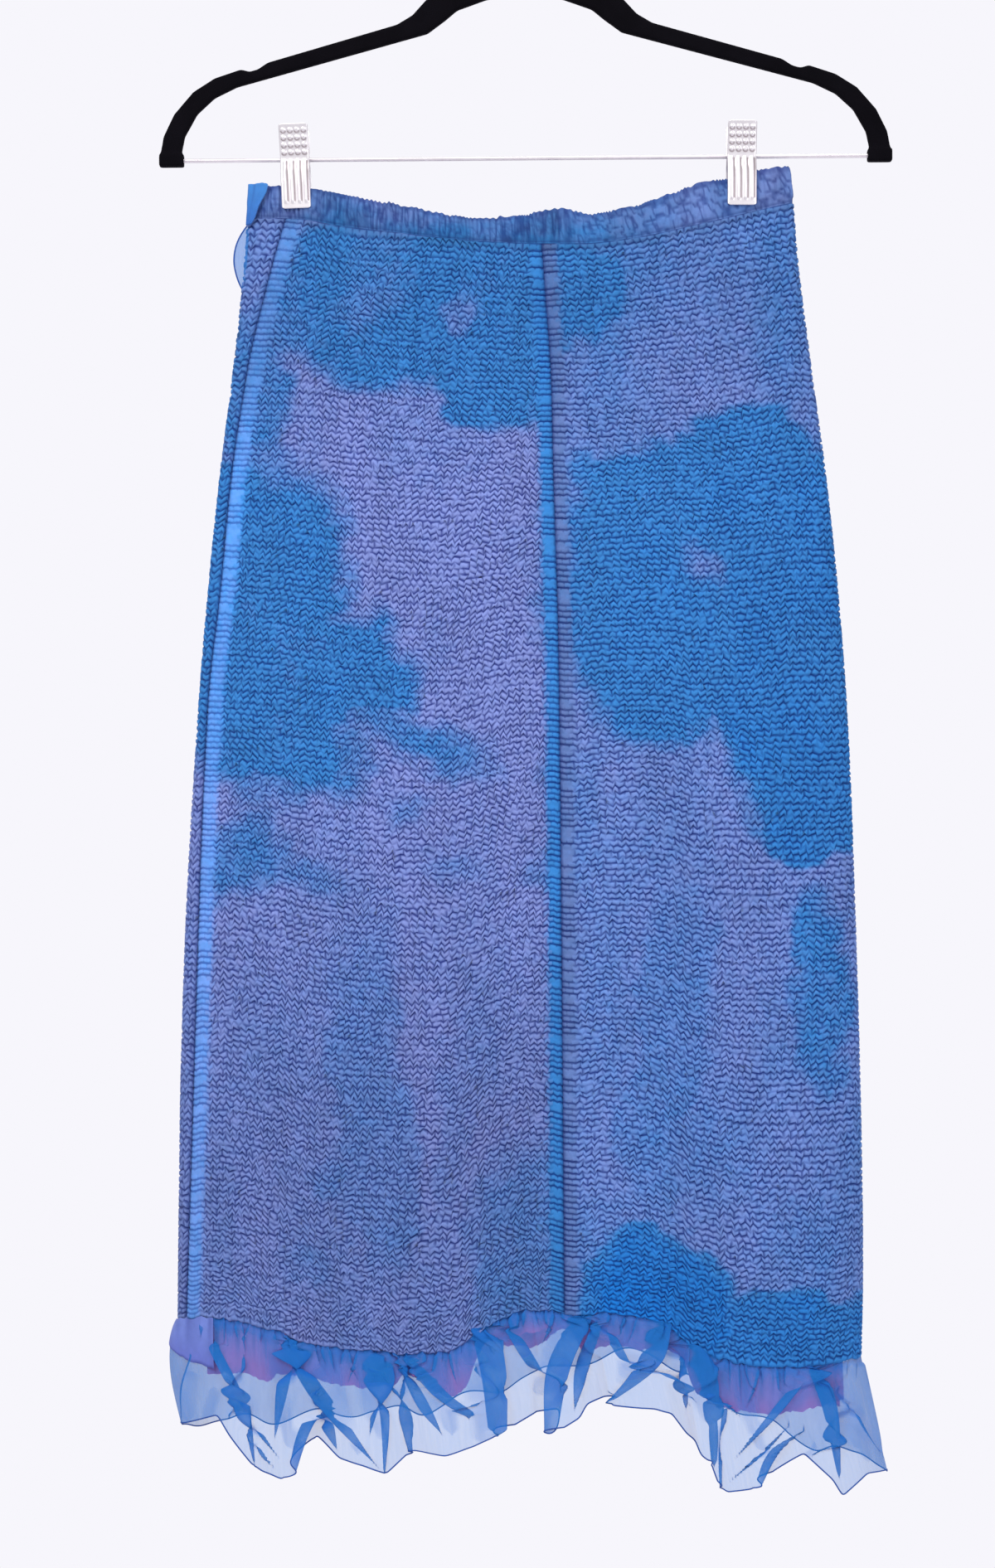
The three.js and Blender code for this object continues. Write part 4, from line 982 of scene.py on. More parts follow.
def casing_row(up, inward, s, angle, swing, smooth_side):
    """One ring of the casing, and how much its colour is darkened: painted shade in its furrows and in the
    valleys of its folds, and a darker band below the top fold; inward is 0 outside and 1 inside.
    """
    x0, _ = on_section(MEAN_WAIST_Z, angle)
    strong = 0.55 + 0.45 * noise(s / 5, up * 2.2, 22)
    fold = np.sin(swing + 1.7 * noise(s / 6, up * 2.6, 28)) * strong
    body = math.sin(math.pi * min(max(up, 0), 1)) ** 0.5
    furrow = ridge(s / 1.9, up * 1.6, 29, 3.2)
    crinkle = ridge(s / 2.9 + up * 2.1, up * 6.5, 23, 3.0)
    groove = lerp(0.75 * furrow + 0.35 * crinkle, 0.15 * furrow + 0.8 * crinkle, smooth_side)
    relief = lerp(0.35 * fold, 0.12 * fold, smooth_side) * (0.4 + 0.6 * body) - 0.7 * groove
    stitch_pull = -0.55 * bell(up - 0.06, 0.07)
    outward = (0.75 * body + relief + stitch_pull) * (1 - 2 * inward) - CASING_THICKNESS * inward
    x, y = on_section(MEAN_WAIST_Z + min(up, 1.0) * CASING_RISE, angle, outward)
    scallop = 0.6 * fold + 0.9 * noise(s / 4, 0, 24) + 1.5 * smooth_side * noise(s / 7, 0, 25)
    top = along(WAIST, "x", "top", x0) + scallop * smoothstep(0.5, 1.0, up)
    # Painted shade: the furrows and the inner sides of the gathers are darkened
    groove_shade = np.clip(1.1 * groove + lerp(np.clip(0.1 - 0.4 * fold, 0, 1), 0, smooth_side), 0, 1)
    crease = groove_shade * (0.55 + 0.45 * body) + 0.55 * float(smoothstep(0.84, 0.97, up))
    return stacked(x, y, lerp(waist_seam(x0), top, min(up, 1.02))), crease


def waist_casing():
    s, angle, around = casing_round()
    swing = 2 * np.pi * (s / GATHER_PITCH + 1.6 * noise(s / 12, 0, 21))
    swing *= round(swing[-1] / (2 * np.pi)) / (swing[-1] / (2 * np.pi))
    x0, y0 = on_section(MEAN_WAIST_Z, angle)
    smooth_side = np.where(y0 > 0, 0.35, smoothstep(15, 50, x0))

    # The rings run from inside the waist, over the fold at the top, down to the seam outside
    rings = ([(up, 0.0) for up in CASING_UP] + CASING_FOLD + CASING_INSIDE)[::-1]
    rows, creases = zip(*(casing_row(*ring, s, angle, swing, smooth_side) for ring in rings))
    points = np.concatenate(rows)
    x, y, z = points.T
    # The casing is darkened along its stitch line: the stitching, and painted shade where the stitch pulls it
    # in
    seam = [0.45 * max(0.0, 1 - abs(up - 0.05) / 0.05) for up, _ in rings]
    level = np.repeat(np.arange(len(rings)), CASING_COLUMNS)
    dye = 0.45 * dye_at(x, y, z - 4) + 0.45 + 0.25 * noise(x / 24, y / 10, 26)
    travelled = np.tile(s, len(rings))
    looks = {"dye": np.clip(dye, 0, 1), "crease": np.clip(np.concatenate(creases), 0, 1),
             "tone": np.where(x > 20, *CASING_TONES) + 0.1 * noise(x / 9, z / 9, 27),
             "seam": np.repeat(seam, CASING_COLUMNS), "flat": stacked(travelled, level * 2.6, 0)}
    faces = grid_faces(len(rings), CASING_COLUMNS, closed=True)
    made = new_piece("waist_casing_cloth", points, faces, GATHERED, looks,
                     stacked(travelled / around, level / (len(rings) - 1)))
    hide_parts("waist_casing_front", "waist_casing_back")


# Underlayer: plain silk that ends below the crinkle, with soft upright folds

UNDER_COLUMNS = 420
UNDER_ROWS = 22
UNDER_TUCK = 1.5
UNDER_BEHIND = 2.8
UNDER_GATHER_PITCH = 9.5


def underlayer(name, on_back):
    reach = UNDERLAYER["x"][-1]
    across = np.linspace(-reach, reach, UNDER_COLUMNS)
    x = -across if on_back else across
    angle = angle_at(MEAN_RELEASE_Z, x, 1 if on_back else 0)
    seed = 31 + 7 * on_back
    drop = along(UNDERLAYER, "x", "drop", across)
    hang = drop + noise(across / 6, 0, seed + 3) + UNDER_TUCK
    top = release_line(x, 1 if on_back else -1) + UNDER_TUCK
    pinker = 0.5 + 0.6 * noise(across / 26, 0, seed + 5)
    pinker = np.where(across < -140, 0.9, pinker) + 0.5 * smoothstep(150, 175, across)
    rows, creases, edges = [], [], []
    for down in np.linspace(0, 1, UNDER_ROWS):
        bend = 1.5 * noise(across / 30, down * 1.3, seed)
        turns = across / UNDER_GATHER_PITCH + 1.3 * noise(across / 22, 0, seed + 1)
        gathers = np.sin(2 * np.pi * turns + bend)
        fine = 0.35 * noise(across / 3, down * 5, seed + 2) * (1 - 0.4 * down)
        outward = 0.55 * (1 - 0.5 * down) * gathers + fine + 2.0 * down - UNDER_BEHIND
        rows.append(stacked(*on_section(MEAN_RELEASE_Z, angle, outward), top - hang * down))
        # Painted shade darkens the valleys of the gathers; a dark band also runs along the top, under the
        # crinkle's end
        sharp = np.clip(-gathers - 0.55, 0, 1) * 1.6 * (1 - smoothstep(0.25, 0.9, down))
        crease = np.clip(sharp * (0.6 + 0.5 * noise(across / 8, 0, seed + 4)), 0, 0.9)
        creases.append(np.clip(crease + 0.8 * (1 - smoothstep(0, 0.08, down)), 0, 1))
        edges.append(np.clip(pinker * (0.25 + 0.75 * down) + 0.5 * down**3, 0, 1))
    travelled = np.tile(across, UNDER_ROWS)
    level = np.repeat(np.linspace(0, 1, UNDER_ROWS), UNDER_COLUMNS)
    looks = {"edge": np.concatenate(edges), "crease": np.concatenate(creases),
             "flat": stacked(travelled, 30 * level, 0)}
    made = new_piece(name + "_cloth", np.concatenate(rows), grid_faces(UNDER_ROWS, UNDER_COLUMNS), UNDER_SILK,
                     looks, stacked(travelled / reach / 2 + 0.5, 1 - level))
    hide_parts(name)


# Hem ruffle: sheer cloth from the crinkle's end to a fluted free edge, with flat-lying folds

RUFFLE_COLUMNS = {False: 880, True: 420}
RUFFLE_ROWS = 66
LAYER_GAP = 1.1
LEAST_FOLD = 1.2
SMALL_GATHERS = 74
EDGE_ROUNDING = 1.5
EDGE_WINDOW = 15
RUFFLE_CUT = (1150, 62)
ROLLED_RADIUS = 0.42


def free_edge_line():
    """The front free edge's height, its corners a little rounded."""
    x = np.linspace(RUFFLE_FRONT["x"][0], RUFFLE_FRONT["x"][-1], 1201)
    z = np.interp(x, RUFFLE_FRONT["x"], RUFFLE_FRONT["z"])
    weight = bell(np.arange(-EDGE_WINDOW, EDGE_WINDOW + 1) * (x[1] - x[0]), EDGE_ROUNDING)
    return x, np.convolve(np.pad(z, EDGE_WINDOW, mode="edge"), weight / weight.sum(), mode="valid")


def all_folds():
    """The folds that show as single ones, and many small gathers below the crinkle."""
    draw = np.random.RandomState(47)
    folds = [dict(fold, dense=0.95, lap=1.0, wide=1.2 * np.array(fold["wide"])) for fold in RUFFLE_FOLDS]
    folds += [dict(veil, dense=0.46, lap=0.0) for veil in RUFFLE_VEILS]
    for x in np.linspace(-204, 198, SMALL_GATHERS) + draw.uniform(-2.5, 2.5, SMALL_GATHERS):
        top = float(along(RELEASE, "x", "front", x)) + 1
        fall = draw.uniform(7, 26)
        slant = draw.uniform(-0.4, 0.4) * fall
        wide = draw.uniform(0.9, 2.6)
        folds.append({"x": (x, x + 0.35 * slant, x + slant), "z": (top, top - 0.5 * fall, top - fall),
                      "wide": (wide, 0.9 * wide, 0), "dense": draw.uniform(0.35, 0.75), "lap": 1.0})
    return folds


FREE_EDGE = free_edge_line()
FOLDS = all_folds()


def back_free_edge(x, share):
    """Height of the back's free edge, and how far its waves stand out."""
    free_z = along(RUFFLE_BACK, "x", "z", x) + 2.5 * np.sin(x / 7.5) + 1.5 * noise(x / 12, 0, 41)
    low, high = RUFFLE_BACK_OUT
    wave = np.sin(share * RUFFLE_BACK_WAVES * 2 * np.pi + 1.5 * noise(x / 40, 0, 42))
    return free_z, (low + high) / 2 + (high - low) / 2 * wave


def ruffle_base(on_back, share, down):
    """The base surface of one half: share runs from fold to fold, down from the crinkle to the edge."""
    angle = share * np.pi + (np.pi if on_back else 0)
    side = 1 if on_back else -1
    top_x, top_y = on_section(MEAN_RELEASE_Z, angle)
    left, right = RUFFLE_FRONT["x"][0], RUFFLE_FRONT["x"][-1]
    free_x = (left + right) / 2 - (right - left) / 2 * np.cos(angle)
    if on_back:
        free_z, out = back_free_edge(free_x, share)
    else:
        free_z, out = np.interp(free_x, *FREE_EDGE), along(RUFFLE_FRONT, "x", "out", free_x)
    at_fold = np.abs(np.cos(angle))
    free_y = side * (OUTLINE["depth"][-1] * np.abs(np.sin(angle)) + out * (1 - at_fold**8))
    x = lerp(top_x, free_x, down)
    x = np.where(x < 0, x - 6.0 * np.sin(np.pi * down**0.75) * at_fold**24, x)
    return x, lerp(top_y, free_y, down**0.85), lerp(release_line(top_x, side), free_z, down)


def fold_shift(x, z):
    """How far each place moves sideways and outwards for the flat-lying folds, and how packed it is."""
    shift, out, packed = np.zeros(x.shape), np.zeros(x.shape), np.zeros(x.shape)
    for number, fold in enumerate(FOLDS):
        top, tip = fold["z"][0], fold["z"][-1]
        line = along(fold, "z", "x", z)
        wide = np.clip(along(fold, "z", "wide", z), 0, None)
        wide = wide * smoothstep(tip - 3, tip + 2, z) * (1 - smoothstep(top + 1, top + 5, z))
        least = np.maximum(wide, LEAST_FOLD)
        reach = least * 0.95
        s = np.clip((x - line) / reach, -1, 1)
        amount = np.clip(wide / least, 0, 1)
        bend = np.sin(np.pi * s)
        shift -= reach * amount * fold["lap"] * bend
        out += LAYER_GAP * amount * fold["lap"] * bend * (-1 if number % 2 else 1)
        grain = 0.85 + 0.3 * noise(s * 3 + number, z / 9, 45)
        packed = np.maximum(packed, fold["dense"] * grain * amount * (1 - smoothstep(0.3, 0.75, np.abs(s))))
    return shift, out, packed


def ruffle_columns(on_back):
    """Shares round one half, closer together near the side folds."""
    even = np.linspace(0, 1, RUFFLE_COLUMNS[on_back] + 1)[:-1]
    return 0.75 * np.arccos(1 - 2 * even) / np.pi + 0.25 * even


def gathered_share(x, z, down, on_back):
    """How packed the cloth is in the gathers below the crinkle."""
    streaks = 0.5 + 0.5 * noise(x / 5, z / 40, 46 + on_back)
    gathered = 1 - smoothstep(0.0, 0.36 + 0.2 * noise(x / 14, 0, 48 + on_back), down)
    fringe = 1 - smoothstep(0.04, 0.16 + 0.1 * noise(x / 2.3, 0, 49 + on_back), down)
    return np.maximum(gathered * 0.5 * streaks**2, fringe * (0.3 + 0.5 * streaks))


def ruffle_row(on_back, share, down):
    """One row of a half: its points, and how packed the cloth is there."""
    x, y, z = ruffle_base(on_back, share, down)
    side = 1 if on_back else -1
    at_top = smoothstep(0, 0.05, down)
    away_from_folds = np.sin(share * np.pi) ** 0.5
    out = 0.9 * noise(x / 4.5, z / 60, 43 + on_back) * (1 - 0.7 * down) * smoothstep(0, 0.1, down)
    packed = np.maximum(gathered_share(x, z, down, on_back), 0.4 * np.abs(np.cos(share * np.pi)) ** 14)
    if on_back:
        shift = 2.2 * np.sin(x / 2.1) * (1 - down) ** 2
    else:
        shift, fold_out, folded = fold_shift(x, z)
        out = out + fold_out
        packed = np.maximum(packed, folded)
    outward = out * away_from_folds - 1.2 * (1 - at_top)
    return stacked(x + shift * away_from_folds * at_top, y + side * outward, z), packed


def hem_ruffle():
    rows, packed = [], []
    for down in np.linspace(0, 1, RUFFLE_ROWS):
        for on_back in (False, True):
            points, packed_here = ruffle_row(on_back, ruffle_columns(on_back), down)
            rows.append(points)
            packed.append(packed_here)
    columns = sum(RUFFLE_COLUMNS.values())
    points = np.concatenate(rows)
    level = np.repeat(np.linspace(0, 1, RUFFLE_ROWS), columns)
    travelled = np.tile(np.arange(columns) / columns, RUFFLE_ROWS)
    flat = stacked(travelled * RUFFLE_CUT[0], level * RUFFLE_CUT[1], 0)
    looks = {"packed": np.concatenate(packed), "flat": flat}
    made = new_piece("hem_ruffle_cloth", points, grid_faces(RUFFLE_ROWS, columns, closed=True), ORGANZA,
                     looks, stacked(travelled, 1 - level))
    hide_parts("hem_ruffle_front", "hem_ruffle_back")
    edge_points, edge_faces = tube(points[-columns:], ROLLED_RADIUS, 6, closed=True)
    edge = new_piece("hem_ruffle_edge", edge_points, edge_faces, ROLLED)


# Left hem: the last stretch of the left panel is plain cloth, down to its dark seam

PANEL_END_SHARE = 0.152
PANEL_END_FALL = (0.21, 0.52)


def panel_end():
    columns, rows = 60, 26
    share = np.linspace(0.0, PANEL_END_SHARE, columns)
    points, crease = [], []
    for down in np.linspace(0, 1, rows):
        fall = down * lerp(*PANEL_END_FALL, share / share[-1])
        x, y, z = ruffle_base(False, share, fall)
        soft = 0.5 * noise(x / 5, z / 30, 51) * np.sin(np.pi * down)
        points.append(stacked(x - 0.8 * np.cos(share * np.pi), y - 1.0 - soft, z + 0.5 * (1 - down)))
        # Painted shade of soft wrinkles, fading downwards, and a dark band at the seam along the bottom
        wrinkles = np.clip(0.55 * noise(x / 3.4, z / 24, 52) * (1 - down), 0, 1)
        crease.append(np.clip(wrinkles + smoothstep(0.93, 1.0, down) * 0.9, 0, 1))
    points = np.concatenate(points)
    looks = {"edge": np.repeat(np.linspace(0, 1, rows) ** 2, columns), "crease": np.concatenate(crease),
             "flat": stacked(points[:, 0], points[:, 2], 0)}
    made = new_piece("left_panel_end", points, grid_faces(rows, columns), BAND_SILK, looks)


# Side tab and side loop

TAB_TOP_WIDTH = 11.5
TAB_TIP_WIDTH = 2.4
TAB_TIP_Z = -241.0
TAB_ROWS = 26
TAB_COLUMNS = 22
LOOP_TOP = -240.5
LOOP_BOTTOM = -280.0
LOOP_BOW = 6.9
LOOP_ROWS = 40
LOOP_COLUMNS = 11


def tab_layer(outward, rolled):
    """One layer of the tab; the outer one has turned edges and is a little rumpled."""
    share = np.linspace(0, 1, TAB_COLUMNS)
    rows = []
    for down in np.linspace(0, 1, TAB_ROWS):
        z = lerp(WAIST["top"][0] + 0.6, TAB_TIP_Z, down)
        width = lerp(TAB_TOP_WIDTH, TAB_TIP_WIDTH, down**1.3) + 0.5 * math.sin(9 * down)
        _, half, _ = section(z)
        angle = np.arccos(np.clip(1 - np.linspace(0.5, width, TAB_COLUMNS) / half, -1, 1))
        edges = 0.6 * bell(share - 1, 0.12) + 0.5 * bell(share - 0.42, 0.1) * (1 - down)
        rumple = 0.35 * noise(share * 4, down * 5, 61)
        x, y = on_section(z, angle, outward + rolled * (edges + rumple))
        ragged = 0.8 * noise(share * 5, 0, 62) * (1 - down)
        rows.append(stacked(x, y, z + ragged * (down < 0.05)))
    return np.concatenate(rows)


def side_tab():
    """A scrap of silk folded over the casing's end, with turned edges."""
    points = np.concatenate([tab_layer(2.9, 1), tab_layer(1.9, 0)])
    down = np.tile(np.repeat(np.linspace(0, 1, TAB_ROWS), TAB_COLUMNS), 2)
    across = np.tile(np.linspace(0, 1, TAB_COLUMNS), 2 * TAB_ROWS)
    # Painted shade along the tab's fold line
    looks = {"edge": down, "crease": 0.4 * bell(across - 0.3, 0.07) * (1 - down),
             "flat": stacked(points[:, 0], points[:, 2], 0)}
    faces = shell_faces(TAB_ROWS, TAB_COLUMNS)
    made = new_piece("side_tab_cloth", points, faces, TAB_SILK, looks)
    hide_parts("side_tab")


def side_loop():
    """A sheer loop, flattened against the left fold, with a rolled outer edge."""
    turn = np.linspace(-1, 1, LOOP_COLUMNS)
    rows, edge = [], []
    for share in np.linspace(0, 1, LOOP_ROWS):
        z = lerp(LOOP_TOP, LOOP_BOTTOM, share)
        fold_x = float(along(OUTLINE, "z", "left", z))
        swell = math.sin(math.pi * share)
        bow = LOOP_BOW * swell**0.8 + 0.4 * float(noise(share * 4, 0, 63))
        x = fold_x + 1.0 - (bow + 1.0) * (1 - np.abs(turn) ** 1.8)
        rows.append(stacked(x, 2.6 * turn * (0.35 + 0.65 * swell), z))
        edge.append((fold_x - bow - 0.2, 0.0, z))
    points = np.concatenate(rows)
    looks = {"packed": np.zeros(len(points)), "flat": points[:, [0, 2, 1]]}
    faces = grid_faces(LOOP_ROWS, LOOP_COLUMNS)
    made = new_piece("side_loop_cloth", points, faces, ORGANZA, looks)
    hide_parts("side_loop")
    edge_points, edge_faces = tube(edge, 0.45, 6)
    line = new_piece("side_loop_edge", edge_points, edge_faces, ROLLED)


def shift_cloth():
    """Everything sewn hangs a little to the right of the hook's middle."""
    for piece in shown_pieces():
        if "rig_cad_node" not in piece and not piece.name.startswith("hanger"):
            piece.data.transform(Matrix.Translation((SKIRT_X * MM, 0, 0)))


# Hanger

def turned(points, angle):
    """Points turned about the Y axis, clockwise seen from the front for an angle below 0."""
    x, y, z = np.asarray(points, float).T
    c, s = math.cos(angle), math.sin(angle)
    return stacked(x * c - z * s, y, x * s + z * c)


ROD_RADIUS = 1.2
WELD_DISTANCE = 0.00002
FLAT_ANGLE = math.radians(2)
ARM_VOXEL = 0.0011


def hanger_bar():
    low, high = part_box("hanger_bar")
    reach = (high.x - low.x) / MM / 2 / math.cos(HANGER_TILT) - 0.02
    path = stacked(np.linspace(-reach, reach, 60), 0, -ROD_BELOW_HOOK)
    points, faces = tube(turned(path, HANGER_TILT), ROD_RADIUS, 24)
    made = new_piece("hanger_rod", points, faces, WIRE)
    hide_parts("hanger_bar")


def flocked_hanger():
    """The moulded body with rounded edges."""
    shape = bmesh.new()
    shape.from_mesh(frame["nodes"]["hanger_body"].data)
    bmesh.ops.remove_doubles(shape, verts=shape.verts, dist=WELD_DISTANCE)
    bmesh.ops.dissolve_limit(shape, angle_limit=FLAT_ANGLE, verts=shape.verts, edges=shape.edges)
    made = settled(bmesh_object("hanger_arms", shape, VELVET))
    rounded = made.modifiers.new("rounded", "REMESH")
    rounded.mode = "VOXEL"
    rounded.voxel_size = ARM_VOXEL
    rounded.use_smooth_shade = True
    soft = made.modifiers.new("softened", "SMOOTH")
    soft.factor = 0.5
    soft.iterations = 3
    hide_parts("hanger_body")


# Clips: two pressed leaves with four ribs and four rows of bumps each, and a coil spring round the bar

CLIP_X = (-139.7, 130.7)
CLIP_LEAN = (1.9, -0.6)
CLIP_WIDTH = 17.6
CLIP_TOP = 20.2
CLIP_BOTTOM = -30.4
LEAF_THICKNESS = 1.0
LEAF_BEND = {"z": [21.7, 12, 1.6, -1.6, -9, -29.2], "y": [9.6, 6.4, 3.6, 3.6, 6.3, 6.3]}
LEAF_COLUMNS = 45
LEAF_ROWS = 92
LEAF_ROUNDING = 1.6
RIBS = 4
RIB_PITCH = 4.1
RIB_WIDTH = 2.3
RIB_PROUD = 0.85
RIB_SPAN = (-26.8, -0.8)
BUMP_RADIUS = 1.45
BUMP_PROUD = 0.75
BUMP_LINES = 4
BUMP_TOP = 16.4
BUMP_PITCH = 4.2
COIL_TURNS = 6
COIL_STEPS = 20
COIL_HALF_LENGTH = 5.8
COIL_RADIUS = 2.4
COIL_WIRE = 0.75


def rib_share(z, low_blur, high_blur):
    """1 along the ribs and 0 past their ends, which are blurred to both sides by the given widths."""
    low, high = RIB_SPAN
    return (smoothstep(low - low_blur[0], low + low_blur[1], z)
            * (1 - smoothstep(high - high_blur[0], high + high_blur[1], z)))


def leaf_marks():
    """The ribs' middles, each with the heights of the bumps above it."""
    for k in range(RIBS):
        yield (k - (RIBS - 1) / 2) * RIB_PITCH, [BUMP_TOP - row * BUMP_PITCH for row in range(BUMP_LINES)]


def leaf_relief(across, z):
    """How far the pressed shape stands proud of the plate."""
    relief = np.zeros(across.shape)
    ends = rib_share(z, (0.9, 0.9), (0.9, 0.9))
    for middle, heights in leaf_marks():
        rib = np.clip(1 - ((across - middle) / (RIB_WIDTH / 2)) ** 2, 0, 1) ** 0.7
        relief = np.maximum(relief, RIB_PROUD * rib * ends)
        for height in heights:
            off = np.hypot(across - middle, z - height)
            relief = np.maximum(relief, BUMP_PROUD * np.sqrt(np.clip(1 - (off / BUMP_RADIUS) ** 2, 0, 1)))
    border = np.maximum(np.abs(across) - (CLIP_WIDTH / 2 - 1.0), 0)
    return relief - 0.55 * border**2


def leaf_groove_shade(across, z):
    """Thin lines of painted shade beside each rib and below each bump, from 0 to 1."""
    dark = np.zeros(across.shape)
    beside_ribs = rib_share(z, (0, 1), (1, 0))
    for middle, heights in leaf_marks():
        dark = np.maximum(dark, 0.9 * beside_ribs * bell(across - middle - 1.4, 0.42))
        for height in heights:
            below = height - z
            rim = bell(np.hypot(across - middle, below) - 1.5, 0.4)
            dark = np.maximum(dark, 0.8 * rim * smoothstep(-0.2, 0.8, below))
    return dark


def leaf_points(side):
    """Outer then inner face of one leaf, and its lines of painted shade; side is -1 in front and 1 behind."""
    share, z = np.meshgrid(np.linspace(-1, 1, LEAF_COLUMNS), np.linspace(CLIP_TOP, CLIP_BOTTOM, LEAF_ROWS))
    from_end = np.minimum(np.minimum(CLIP_TOP - z, z - CLIP_BOTTOM), LEAF_ROUNDING)
    rounding = LEAF_ROUNDING - np.sqrt(np.clip(LEAF_ROUNDING**2 - (LEAF_ROUNDING - from_end) ** 2, 0, None))
    across = share * (CLIP_WIDTH / 2 - rounding)
    bend = along(LEAF_BEND, "z", "y", z)
    groove = leaf_groove_shade(across, z)
    points = [stacked(across, side * reach, z).reshape(-1, 3)
              for reach in (bend + LEAF_THICKNESS + leaf_relief(across, z), bend)]
    return np.concatenate(points), np.concatenate([groove.ravel(), np.zeros(groove.size)])


def shell_faces(rows, columns):
    """A grid, the same grid behind it turned over, and the wall round their rim."""
    count = rows * columns
    faces = grid_faces(rows, columns)
    last_row = np.arange(count - 2, count - columns - 1, -1)
    rim = np.concatenate([np.arange(columns), np.arange(2 * columns - 1, count, columns), last_row,
                          np.arange(count - 2 * columns, 0, -columns)])
    after = np.roll(rim, -1)
    walls = np.stack([rim, after, after + count, rim + count], axis=-1)
    return np.concatenate([faces, faces[:, ::-1] + count, walls])


def clip_placed(points, which):
    """Leans a clip about the bar and hangs it on the tilted hanger."""
    swing = ROD_BELOW_HOOK * math.sin(HANGER_TILT)
    leaned = turned(points, math.radians(CLIP_LEAN[which]))
    return turned(leaned + np.array([CLIP_X[which] + SKIRT_X - swing, 0, -ROD_BELOW_HOOK]), HANGER_TILT)


def trouser_clip(which, label):
    for side, name in ((-1, "front"), (1, "back")):
        points, groove = leaf_points(side)
        faces = shell_faces(LEAF_ROWS, LEAF_COLUMNS)
        # The groove attribute carries the leaf's lines of painted shade
        made = new_piece(f"hanger_clip_{label}_{name}", clip_placed(points, which),
                         faces if side < 0 else faces[:, ::-1], PRESSED, {"groove": groove})
        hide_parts(f"clip_{label}_{name}_leaf")
    turn = np.linspace(0, COIL_TURNS * 2 * np.pi, COIL_TURNS * COIL_STEPS)
    coil = stacked(np.linspace(-COIL_HALF_LENGTH, COIL_HALF_LENGTH, len(turn)),
                   COIL_RADIUS * np.cos(turn), COIL_RADIUS * np.sin(turn))
    points, faces = tube(clip_placed(coil, which), COIL_WIRE, 8)
    made = new_piece(f"hanger_clip_{label}_coil", points, faces, WIRE)
    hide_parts(f"clip_{label}_spring")


# Hook: a straight shank, a bend to the right, and the round over the top to the tip on the left

HOOK_RADIUS = 21.8
HOOK_INSIDE = 20.0
HOOK_WIRE = 1.8
HOOK_TIP = (1.75, 1.6, 1.25, 0.5)
HOOK_ARC = (-60, 205)
SHANK_Z = (-87.5, -61.7)
SHANK_BEND = {"across": (0.03, 0.12, 0.29, 0.5, 0.75), "up": (0.2, 0.42, 0.6, 0.76, 0.89)}


def wire_hook():
    arc = np.radians(np.linspace(*HOOK_ARC, 70))
    arc_x, arc_z = HOOK_RADIUS * np.cos(arc), HOOK_RADIUS * np.sin(arc) - HOOK_INSIDE
    shank_z = np.linspace(*SHANK_Z, 12)
    bend_x = arc_x[0] * np.array(SHANK_BEND["across"])
    bend_z = lerp(SHANK_Z[1], arc_z[0], np.array(SHANK_BEND["up"]))
    path = stacked(np.concatenate([0 * shank_z, bend_x, arc_x]), 0, np.concatenate([shank_z, bend_z, arc_z]))
    radius = np.full(len(path), HOOK_WIRE)
    radius[-len(HOOK_TIP):] = HOOK_TIP
    points, faces = tube(turned(path, HANGER_TILT), radius, 20)
    made = new_piece("hanger_hook_wire", points, faces, WIRE)
    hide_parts("hanger_hook")


# Camera, light and floor

CAMERA_DISTANCE = 1.8
CAMERA_PLACE = (-0.01549, -CAMERA_DISTANCE, -0.5791)
PHOTO_HEIGHT = 1891
PIXELS_PER_METRE = 1990
SENSOR = 24.0
SOFT_LIGHT = 0.6
LIGHTS = named_rows(("name", "place", "target", "size", "power", "colour"), [
    ("key", (-1.2, -1.7, 0.9), (0, 0, -0.6), 0.9, 30, (1.0, 0.985, 0.97)),
    ("fill", (1.4, -1.9, -0.2), (0, 0, -0.6), 1.4, 12, (0.97, 0.98, 1.0)),
    ("top", (0.1, -0.5, 1.1), (0, 0, -0.5), 0.8, 7, (1.0, 1.0, 1.0)),
    ("behind", (0.5, 1.8, 0.6), (0, 0, -0.6), 1.2, 22, (1.0, 1.0, 1.0)),
])
FLOOR_RADIUS = 1.2
FLOOR_Z = -1.4


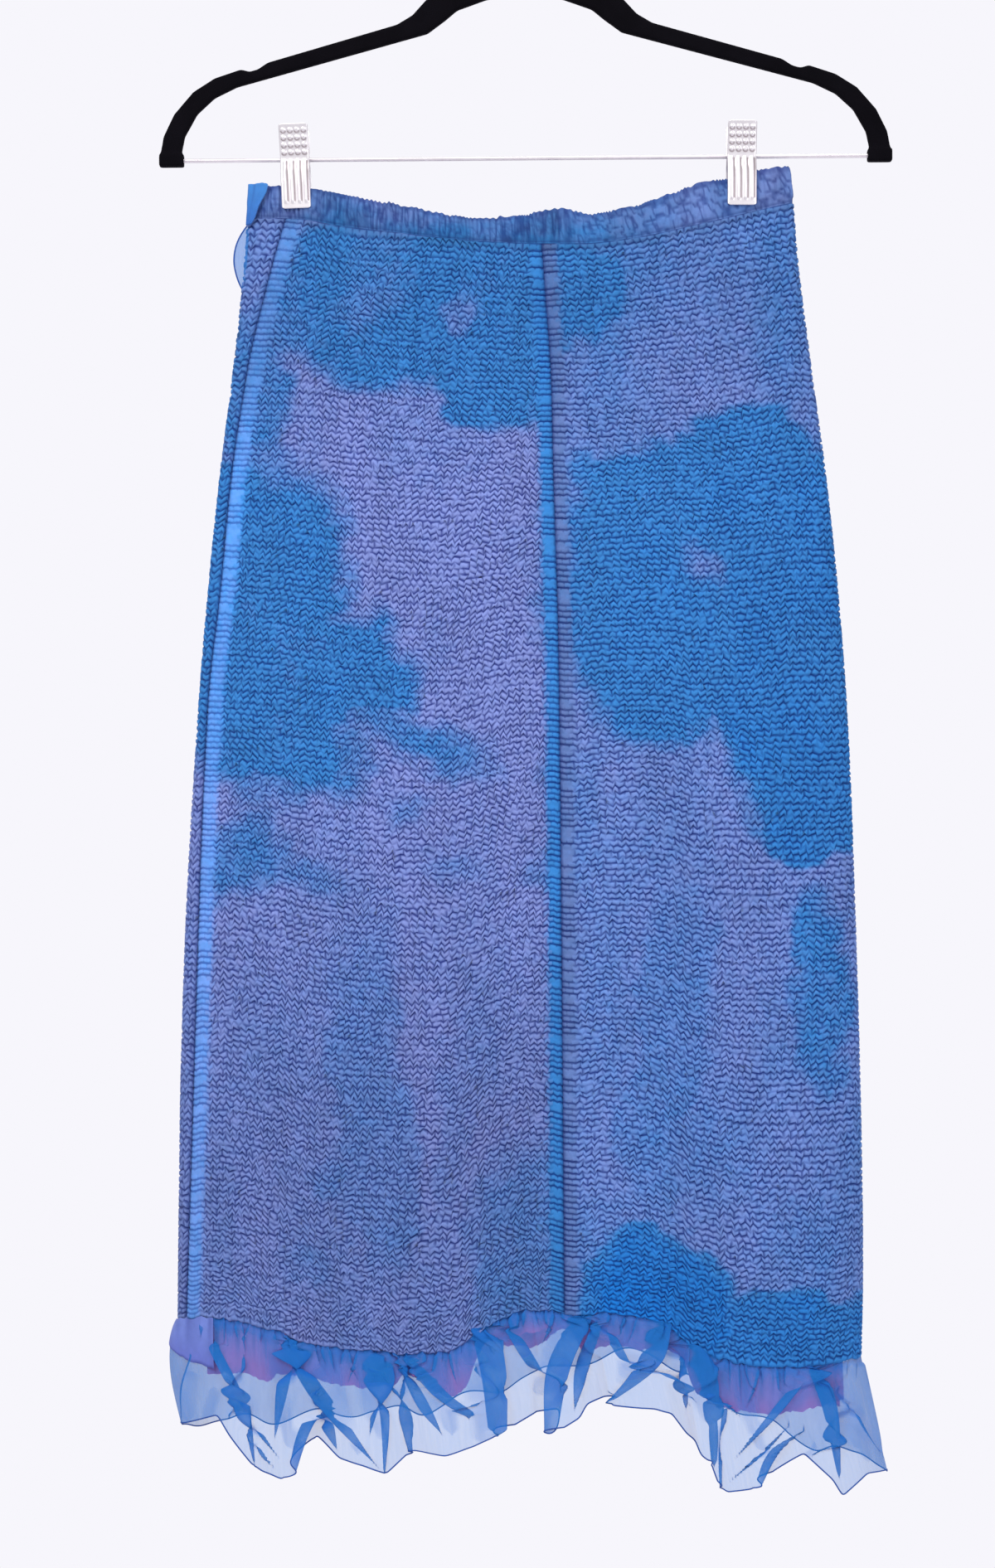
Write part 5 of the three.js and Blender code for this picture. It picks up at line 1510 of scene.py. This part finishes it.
def camera():
    data = bpy.data.cameras.new("camera")
    data.sensor_fit = "VERTICAL"
    data.sensor_height = SENSOR
    data.lens = SENSOR * CAMERA_DISTANCE / (PHOTO_HEIGHT / PIXELS_PER_METRE)
    made = linked(bpy.data.objects.new("camera", data))
    made.location = CAMERA_PLACE
    made.rotation_euler = (math.pi / 2, 0, 0)
    bpy.context.scene.camera = made


def area_light(row):
    data = bpy.data.lights.new(row["name"], "AREA")
    data.shape = "DISK"
    data.size = row["size"]
    data.energy = row["power"]
    data.color = row["colour"]
    made = linked(bpy.data.objects.new(row["name"], data))
    made.location = row["place"]
    made.rotation_euler = (Vector(row["target"]) - Vector(row["place"])).to_track_quat("-Z", "Y").to_euler()


def pale_world():
    """A pale backdrop that lights the cloth a little less than it is seen."""
    world = bpy.data.worlds.new("studio")
    world.use_nodes = True
    tree = world.node_tree
    background = tree.nodes["Background"]
    background.inputs["Color"].default_value = linear(247, 246, 252)
    seen = add(tree, "ShaderNodeLightPath").outputs["Is Camera Ray"]
    strength = math_node(tree, "MULTIPLY_ADD", seen, 1 - SOFT_LIGHT, SOFT_LIGHT)
    tree.links.new(strength, background.inputs["Strength"])
    bpy.context.scene.world = world


def plain_floor():
    material, tree, shader = new_material("floor_plaster", Roughness=0.9, Specular_IOR_Level=0.2)
    grain = noise_node(tree, 40, 4, placed(tree))
    link_all(tree, shader, Base_Color=mixed(tree, grain, linear(232, 230, 236), linear(242, 240, 245)))
    shape = bmesh.new()
    bmesh.ops.create_circle(shape, cap_ends=True, segments=96, radius=FLOOR_RADIUS)
    floor = linked(bmesh_object("floor", shape, material))
    floor.location = (0, 0, FLOOR_Z)
    floor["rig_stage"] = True


def studio():
    pale_world()
    for row in LIGHTS:
        area_light(row)
    bpy.context.scene.view_settings.view_transform = "Standard"
    bpy.context.scene.view_settings.look = "None"
    plain_floor()


camera()
studio()
flocked_hanger()
hanger_bar()
wire_hook()
trouser_clip(0, "left")
trouser_clip(1, "right")
for gore in GORES:
    crinkled_gore(gore)
waist_casing()
underlayer("underlayer_front", False)
underlayer("underlayer_back", True)
hem_ruffle()
panel_end()
side_tab()
side_loop()

shift_cloth()
